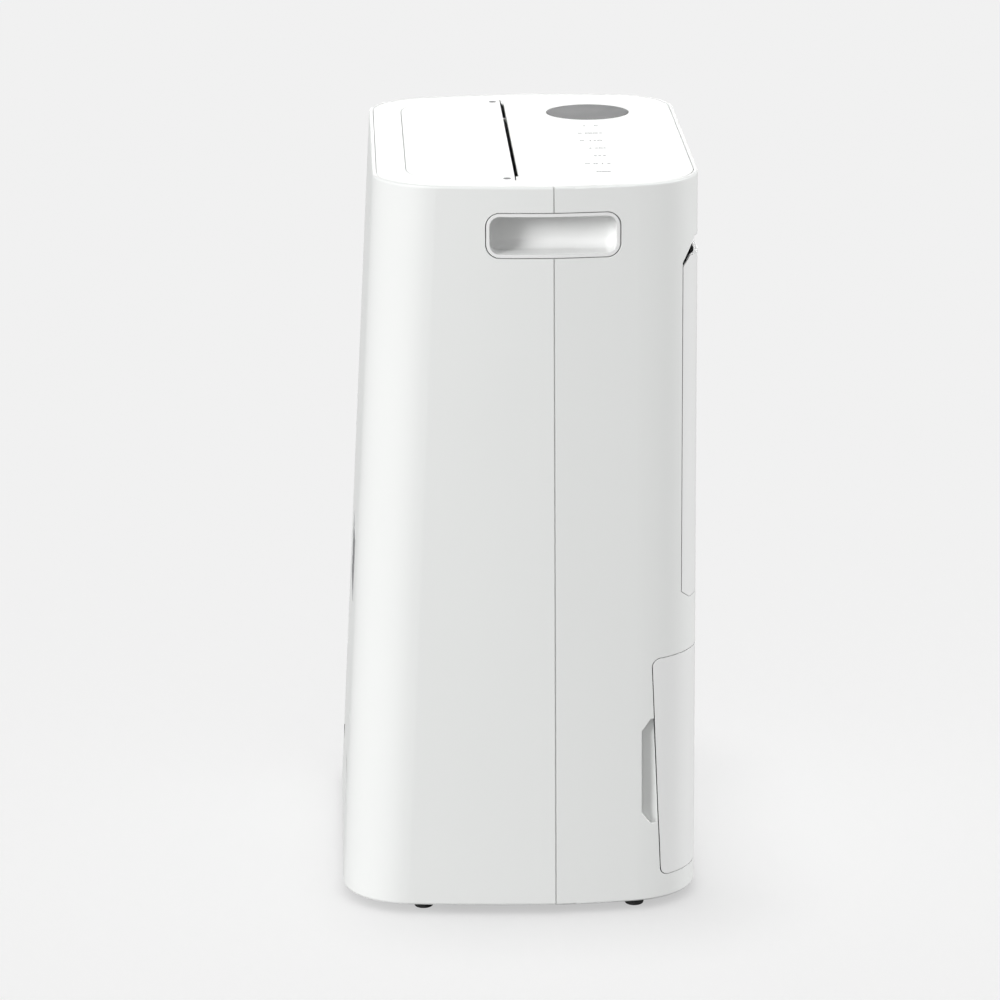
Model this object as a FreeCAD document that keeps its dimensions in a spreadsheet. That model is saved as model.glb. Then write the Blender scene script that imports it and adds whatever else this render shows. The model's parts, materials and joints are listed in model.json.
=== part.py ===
import FreeCAD, Part
import math
import os
import re

import Sketcher

# A portable compressor dehumidifier, in millimetres.
# The front faces -Y, +X is the machine's own left side, +Z is up.
# The origin lies on the floor under the middle of the cabinet.

Vector = FreeCAD.Vector

# ---------------------------------------------------------------------------
# Driving dimensions, kept in the spreadsheet
# ---------------------------------------------------------------------------

DIMENSIONS = {
    # the cabinet
    "half_width": 166.5,
    "cabinet_top": 505.0,
    "cabinet_low": 5.8,
    "seam_y": -23.0,
    "front_y": -121.5,
    "rear_top_y": 94.5,
    "rear_low_y": 121.5,
    "wall": 2.6,
    "corner_round": 50.0,
    "cover_corner": 52.4,
    "bow_front": 500.0,
    "bow_rear_top": 560.0,
    "bow_rear_low": 1100.0,
    "bow_shift": 20.0,
    "rim_round": 1.6,
    "gap": 0.6,
    "fine_gap": 0.35,
    "groove_wide": 0.7,
    "groove_deep": 0.9,
    "clearance": 0.3,
    "running": 0.05,
    # the top cover, the louver and its hinge
    "cover_top": 504.8,
    "cover_thick": 3.4,
    "flap_half": 142.0,
    "flap_front": 0.85,
    "flap_rear": 71.9,
    "flap_round": 40.0,
    "slot_half": 130.0,
    "slot_wide": 2.7,
    "hinge_y": 6.0,
    "hinge_z": 498.8,
    "pin_radius": 1.1,
    "lens_x": 92.5,
    "lens_y": -59.7,
    "lens_radius": 29.0,
    "key_first_x": 40.0,
    "key_pitch": 26.3,
    "key_y": -58.5,
    # the hand recesses in both sides
    "grip_half": 44.0,
    "grip_low": 457.5,
    "grip_high": 487.0,
    "grip_round": 9.0,
    "grip_deep": 24.0,
    # the intake panel
    "intake_low": 215.0,
    "intake_high": 463.0,
    "intake_edge": -109.4,
    "panel_high": 451.0,
    # the water tank
    "bay_low": 21.8,
    "bay_high": 178.4,
    "bay_edge_high": -88.6,
    "bay_edge_low": -95.2,
    "tank_half": 125.0,
    "tank_rear": -14.0,
    "tank_floor": 24.0,
    "tank_rim": 150.0,
    "tank_wall": 2.2,
    "bucket_round": 20.0,
    "scoop_low": 61.0,
    "scoop_high": 136.0,
    "scoop_rear": -82.0,
    "scoop_floor": 154.0,
    # the two coils
    "coil_half": 108.0,
    "coil_low": 222.0,
    "coil_rows": 8.0,
    "coil_pitch": 26.0,
    "coil_tube": 4.0,
    "fin_pitch": 6.0,
    "fin_thick": 0.8,
    "evaporator_y": -84.0,
    "condenser_y": -50.0,
    "coil_deep": 24.0,
    # the fan
    "fan_z": 330.0,
    "fan_radius": 80.0,
    "fan_deep": 46.0,
    "fan_front": 6.0,
    "scroll_front": 0.0,
    "scroll_rear": 60.0,
    "scroll_round": 88.0,
    "scroll_growth": 8.0,
    "duct_half": 119.0,
    # the compressor
    "compressor_x": 62.0,
    "compressor_y": 52.0,
    "compressor_radius": 53.0,
    "compressor_low": 44.0,
    "compressor_high": 210.0,
    # the floor pan and the feet
    "pan_low": 7.0,
    "pan_high": 20.0,
    "foot_radius": 6.5,
    "foot_front_x": 148.2,
    "foot_rear_x": 146.0,
    "foot_front_y": -77.8,
    "foot_rear_y": 66.5,
    # the rear fittings
    "duct_low": 452.0,
    "port_x": -50.0,
    "port_z": 58.0,
    "gland_x": 85.0,
    "gland_z": 46.0,
    "screw_x": 92.0,
    "screw_low_z": 120.0,
    "screw_high_z": 470.0,
    # the shells' screws
    "boss_radius": 8.0,
    "boss_long": 9.0,
    "pocket_radius": 5.6,
    "pocket_deep": 5.0,
    "screw_hole": 2.3,
    "screw_head": 4.0,
    "screw_head_high": 2.6,
    "screw_shank": 1.9,
    "cross_half": 2.4,
    "cross_thin": 0.5,
    # the display, the keys' board and the hinge
    "lens_deep": 1.6,
    "lens_ledge": 6.0,
    "lens_edge": 0.5,
    "boss_wide": 7.0,
    "hinge_boss_half": 4.0,
    "knuckle_wide": 7.5,
    "knuckle_half": 2.6,
    "board_half": 130.0,
    "board_deep": 20.0,
    "board_low": 486.0,
    "board_thick": 1.6,
    "spring_radius": 4.5,
    "spring_high": 13.6,
    "module_half_x": 20.0,
    "module_half_y": 16.0,
    "module_top": 500.0,
    "module_rim": 3.0,
    "rib_thick": 1.6,
    "rib_high": 5.0,
    "motor_radius": 6.1,
    "motor_drop": 4.8,
    "motor_long": 10.0,
    # the outlet
    "outlet_front": 14.0,
    "outlet_rear": 68.0,
    "outlet_low": 476.0,
    "outlet_thick": 8.0,
    "outlet_bar": 3.0,
    "duct_front": 11.0,
    "duct_rear": 71.0,
    "duct_wall": 2.0,
    "duct_high": 34.0,
    # the hand recesses' cups
    "cup_wall": 2.0,
    "cup_rim": 2.2,
    "cup_sunk": 0.25,
    "cup_scoop": 6.0,
    # the filter and the intake grille
    "clip_x": 96.0,
    "clip_size": 8.0,
    "filter_half": 112.0,
    "filter_thick": 4.0,
    "filter_margin": 8.0,
    "filter_bar": 6.0,
    "mesh_thick": 0.8,
    "grille_half": 134.0,
    "grille_thick": 2.6,
    # the tank's lid and float
    "lid_thick": 2.4,
    "lid_drip": 14.0,
    "pivot_back": 12.0,
    "pivot_drop": 7.0,
    "pivot_radius": 2.0,
    "lug_half": 4.0,
    "arm_long": 34.0,
    "foam_long": 40.0,
    "foam_high": 18.0,
    # the deck, the tray and the drain
    "deck_half": 160.0,
    "deck_thick": 3.0,
    "bay_wall_half": 150.0,
    "tray_half": 121.0,
    "tray_wall": 2.0,
    "tray_high": 20.0,
    "drip_back": 17.0,
    "spout_radius": 7.4,
    "spout_bore": 5.4,
    "hose_radius": 7.0,
    "hose_bore": 5.0,
    "hose_bend": 12.0,
    "spigot_radius": 8.8,
    "spigot_bore": 6.0,
    "spigot_start": 25.0,
    "flange_radius": 13.0,
    "port_radius": 20.0,
    "port_deep": 18.0,
    "cap_radius": 13.0,
    "cap_high": 12.0,
    # the fan's fittings
    "hub_radius": 13.0,
    "shaft_radius": 4.0,
    "can_radius": 34.0,
    "can_long": 30.0,
    "bracket_radius": 44.0,
    "plate_thick": 2.6,
    # the compressor's fittings and the pipes
    "dome_round": 24.0,
    "mount_thick": 3.0,
    "mount_drop": 8.0,
    "eye_radius": 7.1,
    "grommet_radius": 11.0,
    "vessel_radius": 15.0,
    "vessel_high": 104.0,
    "dryer_radius": 8.0,
    "dryer_high": 70.0,
    "pipe_bend": 7.0,
    "capillary_radius": 1.6,
    # the electrics
    "case_low_x": 146.0,
    "case_high_x": 78.0,
    "case_front": 24.0,
    "case_rear": 84.0,
    "case_top": 170.0,
    "case_wall": 2.0,
    "capacitor_radius": 12.0,
    "capacitor_high": 62.0,
    # the cord gland and the rear plate
    "gland_radius": 7.8,
    "gland_flange": 11.0,
    "gland_bore": 4.0,
    "gland_long": 14.0,
    "plate_wide": 76.0,
    "plate_high": 44.0,
    "plate_skin": 0.2,
    "plate_low_z": 186.0,
}

doc = FreeCAD.newDocument("dehumidifier")
dims = doc.addObject("Spreadsheet::Sheet", "dims")
for line, (word, number) in enumerate(DIMENSIONS.items(), 1):
    dims.set(f"A{line}", word)
    dims.set(f"B{line}", str(number))
    dims.setAlias(f"B{line}", word)
doc.recompute()

SUBPARTS = []


# ---------------------------------------------------------------------------
# Helpers: formulas name the cells of the sheet in plain words
# ---------------------------------------------------------------------------

def formula(text):
    """Point every dimension named in a formula at its cell."""
    return re.sub(r"[a-z_]+", lambda word: cell(word.group(0)), str(text))


def cell(word):
    return "dims." + word if word in DIMENSIONS else word


def value(text):
    return float(dims.evalExpression(formula(text)))


def bind(thing, path, text):
    thing.setExpression(path, formula(text))


def keep(thing, label):
    """Make an object one of the finished sub-parts."""
    thing.Label = label
    SUBPARTS.append(thing)
    return thing


def block(name, x, y, z):
    """A box between two formulas along each axis."""
    box = doc.addObject("Part::Box", name)
    for size, place, span in (("Length", "x", x), ("Width", "y", y), ("Height", "z", z)):
        bind(box, size, f"({span[1]}) - ({span[0]})")
        bind(box, "Placement.Base." + place, span[0])
    return box


TURNS = {
    "x": FreeCAD.Rotation(Vector(0, 1, 0), 90),
    "y": FreeCAD.Rotation(Vector(1, 0, 0), -90),
    "z": FreeCAD.Rotation(),
}


def place(thing, at, axis="z"):
    """Turn an object's own Z onto an axis and bind its position to three formulas."""
    thing.Placement = FreeCAD.Placement(Vector(), TURNS[axis])
    for letter, text in zip("xyz", at):
        bind(thing, "Placement.Base." + letter, text)
    return thing


def rod(name, axis, radius, at, length):
    """A cylinder that starts at a point and runs along one axis."""
    cylinder = doc.addObject("Part::Cylinder", name)
    bind(cylinder, "Radius", radius)
    bind(cylinder, "Height", length)
    return place(cylinder, at, axis)


def join(name, *pieces):
    fuse = doc.addObject("Part::MultiFuse", name)
    fuse.Shapes = list(pieces)
    fuse.Refine = True
    return fuse


def cut(name, base, *tools):
    result = doc.addObject("Part::Cut", name)
    result.Base = base
    result.Tool = tools[0] if len(tools) == 1 else join(name + "_tools", *tools)
    result.Refine = True
    return result


def common(name, first, second):
    result = doc.addObject("Part::Common", name)
    result.Base = first
    result.Tool = second
    result.Refine = True
    return result


def rounded(name, base, radius, wanted):
    """Round the edges of a shape that pass a test."""
    doc.recompute()
    size = value(radius)
    fillet = doc.addObject("Part::Fillet", name)
    fillet.Base = base
    fillet.Edges = [
        (number, size, size)
        for number, edge in enumerate(base.Shape.Edges, 1)
        if wanted(edge)
    ]
    return fillet


def along(axis):
    """A test for straight edges that run along one axis."""
    direction = {"x": Vector(1, 0, 0), "y": Vector(0, 1, 0), "z": Vector(0, 0, 1)}[axis]

    def test(edge):
        ends = [corner.Point for corner in edge.Vertexes]
        if len(ends) != 2 or edge.Curve.TypeId != "Part::GeomLine":
            return False
        run = ends[1].sub(ends[0]).normalize()
        return abs(run.dot(direction)) > 0.99

    return test


def origin_plane(body, role):
    return next(plane for plane in body.Origin.OriginFeatures if plane.Role == role)


def new_sketch(body, name, plane, lift):
    """A sketch on one of its body's origin planes, lifted along the plane's normal."""
    sketch = body.newObject("Sketcher::SketchObject", name)
    sketch.AttachmentSupport = (origin_plane(body, plane + "_Plane"), [""])
    sketch.MapMode = "FlatFace"
    bind(sketch, "AttachmentOffset.Base.z", lift)
    return sketch


def hold(sketch, kind, geometry, end, text):
    """Fix a sketch point's distance from the origin with a bound formula."""
    number = sketch.addConstraint(Sketcher.Constraint(kind, -1, 1, geometry, end, value(text)))
    bind(sketch, f"Constraints[{number}]", text)


def polygon(sketch, corners):
    """A closed outline of straight lines through corners given as pairs of formulas."""
    points = [Vector(value(across), value(upward), 0) for across, upward in corners]
    first = sketch.GeometryCount
    count = len(points)
    for number, point in enumerate(points):
        sketch.addGeometry(Part.LineSegment(point, points[(number + 1) % count]))
    for number, (across, upward) in enumerate(corners):
        following = first + (number + 1) % count
        sketch.addConstraint(Sketcher.Constraint("Coincident", first + number, 2, following, 1))
        hold(sketch, "DistanceX", first + number, 1, across)
        hold(sketch, "DistanceY", first + number, 1, upward)


def circle(sketch, across, upward, radius):
    """A circle whose centre and radius are formulas."""
    middle = Vector(value(across), value(upward), 0)
    number = sketch.addGeometry(Part.Circle(middle, Vector(0, 0, 1), value(radius)))
    hold(sketch, "DistanceX", number, 3, across)
    hold(sketch, "DistanceY", number, 3, upward)
    size = sketch.addConstraint(Sketcher.Constraint("Radius", number, value(radius)))
    bind(sketch, f"Constraints[{size}]", radius)


def pad(body, name, sketch, length):
    feature = body.newObject("PartDesign::Pad", name)
    feature.Profile = sketch
    bind(feature, "Length", length)
    return feature


def pocket(body, name, sketch, depth, backwards=False):
    """Cut a sketch into its body, and make sure that it took something away."""
    doc.recompute()
    before = body.Shape.Volume
    feature = body.newObject("PartDesign::Pocket", name)
    feature.Profile = sketch
    feature.Reversed = backwards
    bind(feature, "Length", depth)
    doc.recompute()
    if body.Shape.Volume > before - 0.01:
        raise RuntimeError(name + " cuts nothing")
    return feature


def prism(name, plane, corners, low, high, round_size=None, round_corners=()):
    """A straight-sided prism between two heights over a plane, with some corners rounded."""
    body = doc.addObject("PartDesign::Body", name)
    lift = f"0 - ({high})" if plane == "XZ" else low
    sketch = new_sketch(body, name + "_outline", plane, lift)
    polygon(sketch, corners)
    solid = pad(body, name + "_pad", sketch, f"({high}) - ({low})")
    if round_corners:
        doc.recompute()
        axis = {"XY": "z", "XZ": "y", "YZ": "x"}[plane]
        runs = along(axis)
        spots = [(value(corners[number][0]), value(corners[number][1])) for number in round_corners]
        chosen = []
        for number, edge in enumerate(solid.Shape.Edges, 1):
            point = edge.Vertexes[0].Point
            flat = {"z": (point.x, point.y), "y": (point.x, point.z), "x": (point.y, point.z)}[axis]
            near = any(math.dist(flat, spot) < 0.01 for spot in spots)
            if runs(edge) and near:
                chosen.append(f"Edge{number}")
        rounding = body.newObject("PartDesign::Fillet", name + "_round")
        rounding.Base = (solid, chosen)
        bind(rounding, "Radius", round_size)
    return body


def pipe(name, points, radius, bend, bore=None):
    """A round tube along straight runs joined by equal tangent arcs."""
    corners = [Vector(*[value(text) for text in point]) for point in points]
    size = value(bend)
    edges = []
    here = corners[0]
    for before, corner, after in zip(corners, corners[1:], corners[2:]):
        back = before.sub(corner).normalize()
        ahead = after.sub(corner).normalize()
        half = back.getAngle(ahead) / 2
        reach = size / math.tan(half)
        start = corner.add(Vector(back).multiply(reach))
        finish = corner.add(Vector(ahead).multiply(reach))
        inward = back.add(ahead).normalize()
        middle = corner.add(inward.multiply(size / math.sin(half) - size))
        edges.append(Part.LineSegment(here, start).toShape())
        edges.append(Part.Arc(start, middle, finish).toShape())
        here = finish
    edges.append(Part.LineSegment(here, corners[-1]).toShape())
    path = Part.Wire(edges)

    def swept(width):
        ring = Part.Circle(corners[0], corners[1].sub(corners[0]), width).toShape()
        return path.makePipeShell([Part.Wire(ring)], True, False)

    shape = swept(value(radius))
    if bore:
        shape = shape.cut(swept(value(bore)))
    tube = doc.addObject("Part::Feature", name)
    tube.Shape = shape
    tube.Placement = FreeCAD.Placement()
    return tube


# ---------------------------------------------------------------------------
# The cabinet's plan: two bowed halves that meet at the seam
# ---------------------------------------------------------------------------

def half_plan(sketch, side, end_y, bow, inset, corner="corner_round"):
    """One half of the plan: bowed sides, corner arcs and a flat end, closed along the seam.

    side is -1 for the front half and 1 for the rear half. The sides bow about a centre just past
    the seam, so the two halves meet there at a slight ridge.
    """
    width = value(f"half_width - ({inset})")
    seam = value("seam_y")
    end = value(end_y) - side * value(inset)
    bow_size = value(f"({bow}) - ({inset})")
    corner_size = value(f"{corner} - ({inset})")
    bow_y = seam - side * value("bow_shift")
    bow_x = width - math.sqrt(bow_size ** 2 - (seam - bow_y) ** 2)
    corner_y = end - side * corner_size
    corner_x = bow_x + math.sqrt((bow_size - corner_size) ** 2 - (corner_y - bow_y) ** 2)
    start = math.atan2(abs(seam - bow_y), width - bow_x)
    turn = math.atan2(abs(corner_y - bow_y), corner_x - bow_x)
    quarter = math.pi / 2

    def arc(x, y, size, low, high, mirror):
        """An arc given for the rear right corner, carried over to the wanted corner."""
        angles = [low, high]
        if mirror:
            angles = [math.pi - angle for angle in angles]
        if side < 0:
            angles = [-angle for angle in angles]
        ring = Part.Circle(Vector(-x if mirror else x, y, 0), Vector(0, 0, 1), size)
        return Part.ArcOfCircle(ring, min(angles), max(angles))

    ends = [Vector(width, seam, 0), Vector(-width, seam, 0)]
    sketch.addGeometry(Part.LineSegment(ends[1], ends[0]))
    sketch.addGeometry(arc(bow_x, bow_y, bow_size, start, turn, False))
    sketch.addGeometry(arc(corner_x, corner_y, corner_size, turn, quarter, False))
    sketch.addGeometry(Part.LineSegment(Vector(corner_x, end, 0), Vector(-corner_x, end, 0)))
    sketch.addGeometry(arc(corner_x, corner_y, corner_size, turn, quarter, True))
    sketch.addGeometry(arc(bow_x, bow_y, bow_size, start, turn, True))

    # an arc runs anticlockwise, so which of its ends meets the next piece depends on the corner
    first, last = (1, 2) if side > 0 else (2, 1)
    sketch.addConstraint([
        Sketcher.Constraint("Coincident", 0, 2, 1, first),
        Sketcher.Constraint("Tangent", 1, last, 2, first),
        Sketcher.Constraint("Tangent", 2, last, 3, 1),
        Sketcher.Constraint("Tangent", 3, 2, 4, first),
        Sketcher.Constraint("Tangent", 4, last, 5, first),
        Sketcher.Constraint("Coincident", 5, last, 0, 1),
        Sketcher.Constraint("Symmetric", 0, 1, 0, 2, -2),
        Sketcher.Constraint("Equal", 1, 5),
        Sketcher.Constraint("Equal", 2, 4),
    ])
    hold(sketch, "DistanceX", 0, 2, f"half_width - ({inset})")
    hold(sketch, "DistanceY", 0, 2, "seam_y")
    hold(sketch, "DistanceY", 3, 1, f"({end_y}) - {side} * ({inset})")
    hold(sketch, "DistanceY", 1, 3, f"seam_y - {side} * bow_shift")
    for geometry, size in ((1, f"({bow}) - ({inset})"), (2, f"{corner} - ({inset})")):
        number = sketch.addConstraint(Sketcher.Constraint("Radius", geometry, value(size)))
        bind(sketch, f"Constraints[{number}]", size)


REAR_SLOPE = "((rear_low_y - rear_top_y) / (cabinet_top - cabinet_low))"
BOW_SLOPE = "((bow_rear_low - bow_rear_top) / (cabinet_top - cabinet_low))"


def rear_y(height):
    """Where the sloping back of the cabinet is at a height."""
    return f"(rear_low_y - {REAR_SLOPE} * (({height}) - cabinet_low))"


def rear_bow(height):
    return f"(bow_rear_low - {BOW_SLOPE} * (({height}) - cabinet_low))"


def front_half(name, low, high, inset, corner="corner_round"):
    """The front half of the cabinet's form, drawn in by an inset all round."""
    body = doc.addObject("PartDesign::Body", name)
    sketch = new_sketch(body, name + "_plan", "XY", low)
    half_plan(sketch, -1, "front_y", "bow_front", inset, corner)
    pad(body, name + "_pad", sketch, f"({high}) - ({low})")
    return body


def rear_half(name, low, high, inset, high_inset=None):
    """The rear half of the form: it flares towards the floor, so it is lofted."""
    body = doc.addObject("PartDesign::Body", name)
    plans = []
    for word, height, edge in (("low", low, inset), ("high", high, high_inset or inset)):
        sketch = new_sketch(body, f"{name}_{word}_plan", "XY", height)
        half_plan(sketch, 1, rear_y(height), rear_bow(height), edge)
        plans.append(sketch)
    loft = body.newObject("PartDesign::AdditiveLoft", name + "_loft")
    loft.Profile = plans[0]
    loft.Sections = [plans[1]]
    loft.Ruled = True
    return body


def rear_form_with_rims(name):
    """The rear half, its upper and lower rims rounded in two slopes each."""
    slight = f"rim_round * {1 - math.cos(math.pi / 4):.4f}"
    levels = [
        ("cabinet_low", "rim_round"),
        (f"cabinet_low + {slight}", slight),
        ("cabinet_low + rim_round", "0"),
        ("cabinet_top - rim_round", "0"),
        (f"cabinet_top - {slight}", slight),
        ("cabinet_top", "rim_round"),
    ]
    slices = []
    for number, (lower, upper) in enumerate(zip(levels, levels[1:])):
        slices.append(rear_half(f"{name}_slice_{number}", lower[0], upper[0], lower[1], upper[1]))
    return join(name, *slices)


def whole_form(name, low, high, inset, corner="corner_round"):
    return join(name, front_half(name + "_front", low, high, inset, corner),
                rear_half(name + "_rear", low, high, inset))


def rim_edges(edge):
    """The outer edges around the top and the bottom of the front half."""
    box = edge.BoundBox
    seam = value("seam_y")
    on_seam = abs(box.YMin - seam) < 0.01 and abs(box.YMax - seam) < 0.01
    levels = (value("cabinet_top"), value("cabinet_low"))
    level = any(abs(box.ZMin - z) < 0.01 and abs(box.ZMax - z) < 0.01 for z in levels)
    return level and not on_seam


WIDE = "half_width + 10"
FAR_LEFT = "0 - half_width - 10"
INSIDE_LOW = "cabinet_low - 1"
INSIDE_HIGH = "cabinet_top + 1"

front_form = rounded("front_form", front_half("front_blank", "cabinet_low", "cabinet_top", "0"),
                     "rim_round", rim_edges)
rear_form = rear_form_with_rims("rear_form")
front_core = front_half("front_core", INSIDE_LOW, INSIDE_HIGH, "wall")
rear_core = rear_half("rear_core", INSIDE_LOW, INSIDE_HIGH, "wall")
front_skin = cut("front_skin", front_form, front_core)
rear_skin = cut("rear_skin", rear_form, rear_core)


def hand_opening(name, grow, low_x, high_x):
    """The rounded slot of a hand recess, run through along X."""
    low_y = f"seam_y - grip_half - ({grow})"
    high_y = f"seam_y + grip_half + ({grow})"
    low_z = f"grip_low - ({grow})"
    high_z = f"grip_high + ({grow})"
    corners = [(low_y, low_z), (high_y, low_z), (high_y, high_z), (low_y, high_z)]
    return prism(name, "YZ", corners, low_x, high_x, f"grip_round + ({grow})", range(4))


def bay_region(name, inset):
    """The wedge in front of the tank's side seams; an inset leaves the seam gap."""
    corners = [
        (f"bay_edge_high - ({inset})", f"bay_high - ({inset})"),
        (f"bay_edge_low - ({inset})", f"bay_low + ({inset})"),
        ("front_y - 10", f"bay_low + ({inset})"),
        ("front_y - 10", f"bay_high - ({inset})"),
    ]
    return prism(name, "YZ", corners, FAR_LEFT, WIDE, f"6 - ({inset})", (0, 1))


def intake_region(name):
    """The shallow recess around the intake panel, with its slanted upper edge."""
    corners = [
        ("intake_edge", "intake_low + 6"),
        ("intake_edge", "panel_high - 3"),
        ("front_y + 3", "intake_high"),
        ("front_y - 10", "intake_high"),
        ("front_y - 10", "intake_low"),
        ("intake_edge - 6", "intake_low"),
    ]
    return prism(name, "YZ", corners, FAR_LEFT, WIDE)


def panel_region(name):
    """The space that the intake panel fills: the recess less a seam, and less the air slot on top."""
    corners = [
        ("intake_edge - fine_gap", "intake_low + 6 + fine_gap / 2"),
        ("intake_edge - fine_gap", "panel_high - 6"),
        ("intake_edge - fine_gap - 5", "panel_high"),
        ("front_y - 10", "panel_high"),
        ("front_y - 10", "intake_low + fine_gap"),
        ("intake_edge - 6", "intake_low + fine_gap"),
    ]
    return prism(name, "YZ", corners, FAR_LEFT, WIDE)


def scoop_prism(name, grow, low_x, high_x):
    """The finger scoop beside the tank: a pocket with cut corners."""
    corners = [
        (f"scoop_rear + ({grow})", f"scoop_low + 8 - ({grow})"),
        (f"scoop_rear + ({grow})", f"scoop_high - 8 + ({grow})"),
        (f"scoop_rear - 6 + ({grow})", f"scoop_high + ({grow})"),
        ("scoop_rear - 18", f"scoop_high + ({grow})"),
        ("scoop_rear - 18", f"scoop_low - ({grow})"),
        (f"scoop_rear - 6 + ({grow})", f"scoop_low - ({grow})"),
    ]
    return prism(name, "YZ", corners, low_x, high_x)


# ---------------------------------------------------------------------------
# The two shells
# ---------------------------------------------------------------------------

def front_shell():
    backs = []
    scoops = []
    for side, sign in (("left", 1), ("right", -1)):
        near = "scoop_floor" if sign > 0 else "0 - half_width - 5"
        far = "half_width + 5" if sign > 0 else "0 - scoop_floor"
        scoops.append(scoop_prism(f"scoop_{side}", "0", near, far))
        near = "scoop_floor - wall" if sign > 0 else "0 - half_width - 5"
        far = "half_width + 5" if sign > 0 else "wall - scoop_floor"
        backing = scoop_prism(f"scoop_back_{side}", "wall", near, far)
        backs.append(common(f"scoop_cup_{side}", backing, front_form))
    skin = join("front_skin_and_cups", front_skin, *backs)
    # a shallow step along the seam leaves a fine groove between the two shells
    edge_strip = block("groove_strip", (FAR_LEFT, WIDE), ("seam_y - groove_wide", "seam_y + 1"),
                       (INSIDE_LOW, INSIDE_HIGH))
    under_groove = front_half("under_groove", INSIDE_LOW, INSIDE_HIGH, "groove_deep")
    groove = cut("seam_groove", edge_strip, under_groove)
    shell = cut("front_shell_solid", skin, groove, *scoops,
                hand_opening("front_hand_slot", "gap", FAR_LEFT, WIDE),
                bay_region("bay_cut", "0"),
                intake_region("intake_cut"))
    keep(shell, "front_shell")


def rear_screw_holes():
    """Counterbored pockets for the four screws that join the shells."""
    bosses = []
    holes = []
    for side, x in (("left", "screw_x"), ("right", "0 - screw_x")):
        for level, z in (("low", "screw_low_z"), ("high", "screw_high_z")):
            tag = f"{side}_{level}"
            back = f"{rear_y(z)} - wall"
            bosses.append(rod(f"boss_{tag}", "y", "boss_radius",
                              (x, f"{back} - boss_long", z), "boss_long + 1"))
            holes.append(rod(f"counterbore_{tag}", "y", "pocket_radius",
                             (x, f"{back} - pocket_deep", z), "20"))
            holes.append(rod(f"screw_hole_{tag}", "y", "screw_hole",
                             (x, f"{back} - boss_long - 3", z), "20"))
    return bosses, holes


def rear_shell():
    bosses, holes = rear_screw_holes()
    port_hole = rod("port_hole", "y", "port_radius + running",
                    ("port_x", f"{rear_y('port_z')} - 15", "port_z"), "30")
    gland_hole = rod("gland_hole", "y", "gland_radius + 0.2",
                     ("gland_x", f"{rear_y('gland_z')} - 8", "gland_z"), "16")
    shell = cut("rear_shell_solid", join("rear_skin_and_bosses", rear_skin, *bosses),
                port_hole, gland_hole,
                hand_opening("rear_hand_slot", "gap", FAR_LEFT, WIDE), *holes)
    keep(shell, "rear_shell")


def drain_port():
    """The round pocket set into the back, which the drain spigot and its cap stand in."""
    back = rear_y("port_z")
    start = f"{back} - port_deep"
    cup = rod("port_cup", "y", "port_radius", ("port_x", start, "port_z"), "port_deep + 10")
    space = rod("port_space", "y", "port_radius - 3", ("port_x", f"{start} + wall", "port_z"), "40")
    hole = rod("spigot_hole", "y", "spigot_radius + 0.2",
               ("port_x", f"{back} - spigot_start", "port_z"), "20")
    limit = rear_half("port_limit", "cabinet_low", "cabinet_top", "0.1")
    keep(cut("drain_port_solid", common("port_in_form", cup, limit), space, hole), "drain_port")


def rear_screws():
    """The four screws that hold the shells together, as one set."""
    screws = []
    for side, x in (("left", "screw_x"), ("right", "0 - screw_x")):
        for level, z in (("low", "screw_low_z"), ("high", "screw_high_z")):
            tag = f"{side}_{level}"
            seat = f"{rear_y(z)} - wall - pocket_deep"
            head = rod(f"head_{tag}", "y", "screw_head", (x, seat, z), "screw_head_high")
            shank = rod(f"shank_{tag}", "y", "screw_shank", (x, f"{seat} - 10", z), "11")
            bars = [
                block(f"cross_{way}_{tag}", (f"{x} - {wide}", f"{x} + {wide}"),
                      (f"{seat} + screw_head_high / 2", f"{seat} + screw_head_high + 1"),
                      (f"{z} - {tall}", f"{z} + {tall}"))
                for way, wide, tall in (("a", "cross_half", "cross_thin"),
                                        ("b", "cross_thin", "cross_half"))
            ]
            screws.append(cut(f"screw_{tag}_solid", join(f"screw_{tag}_blank", head, shank), *bars))
    keep(join("rear_screws_solid", *screws), "rear_screws")


# ---------------------------------------------------------------------------
# The top: cover, display, keys' board, louver flap, outlet
# ---------------------------------------------------------------------------

COVER_LOW = "(cover_top - cover_thick)"


def flap_outline(name, low, high, side, front, rear, round_size):
    """The louver's plan: a rectangle whose two rear corners are well rounded."""
    corners = [
        (f"0 - ({side})", front),
        (side, front),
        (side, rear),
        (f"0 - ({side})", rear),
    ]
    return prism(name, "XY", corners, low, high, round_size, (2, 3))


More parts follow.
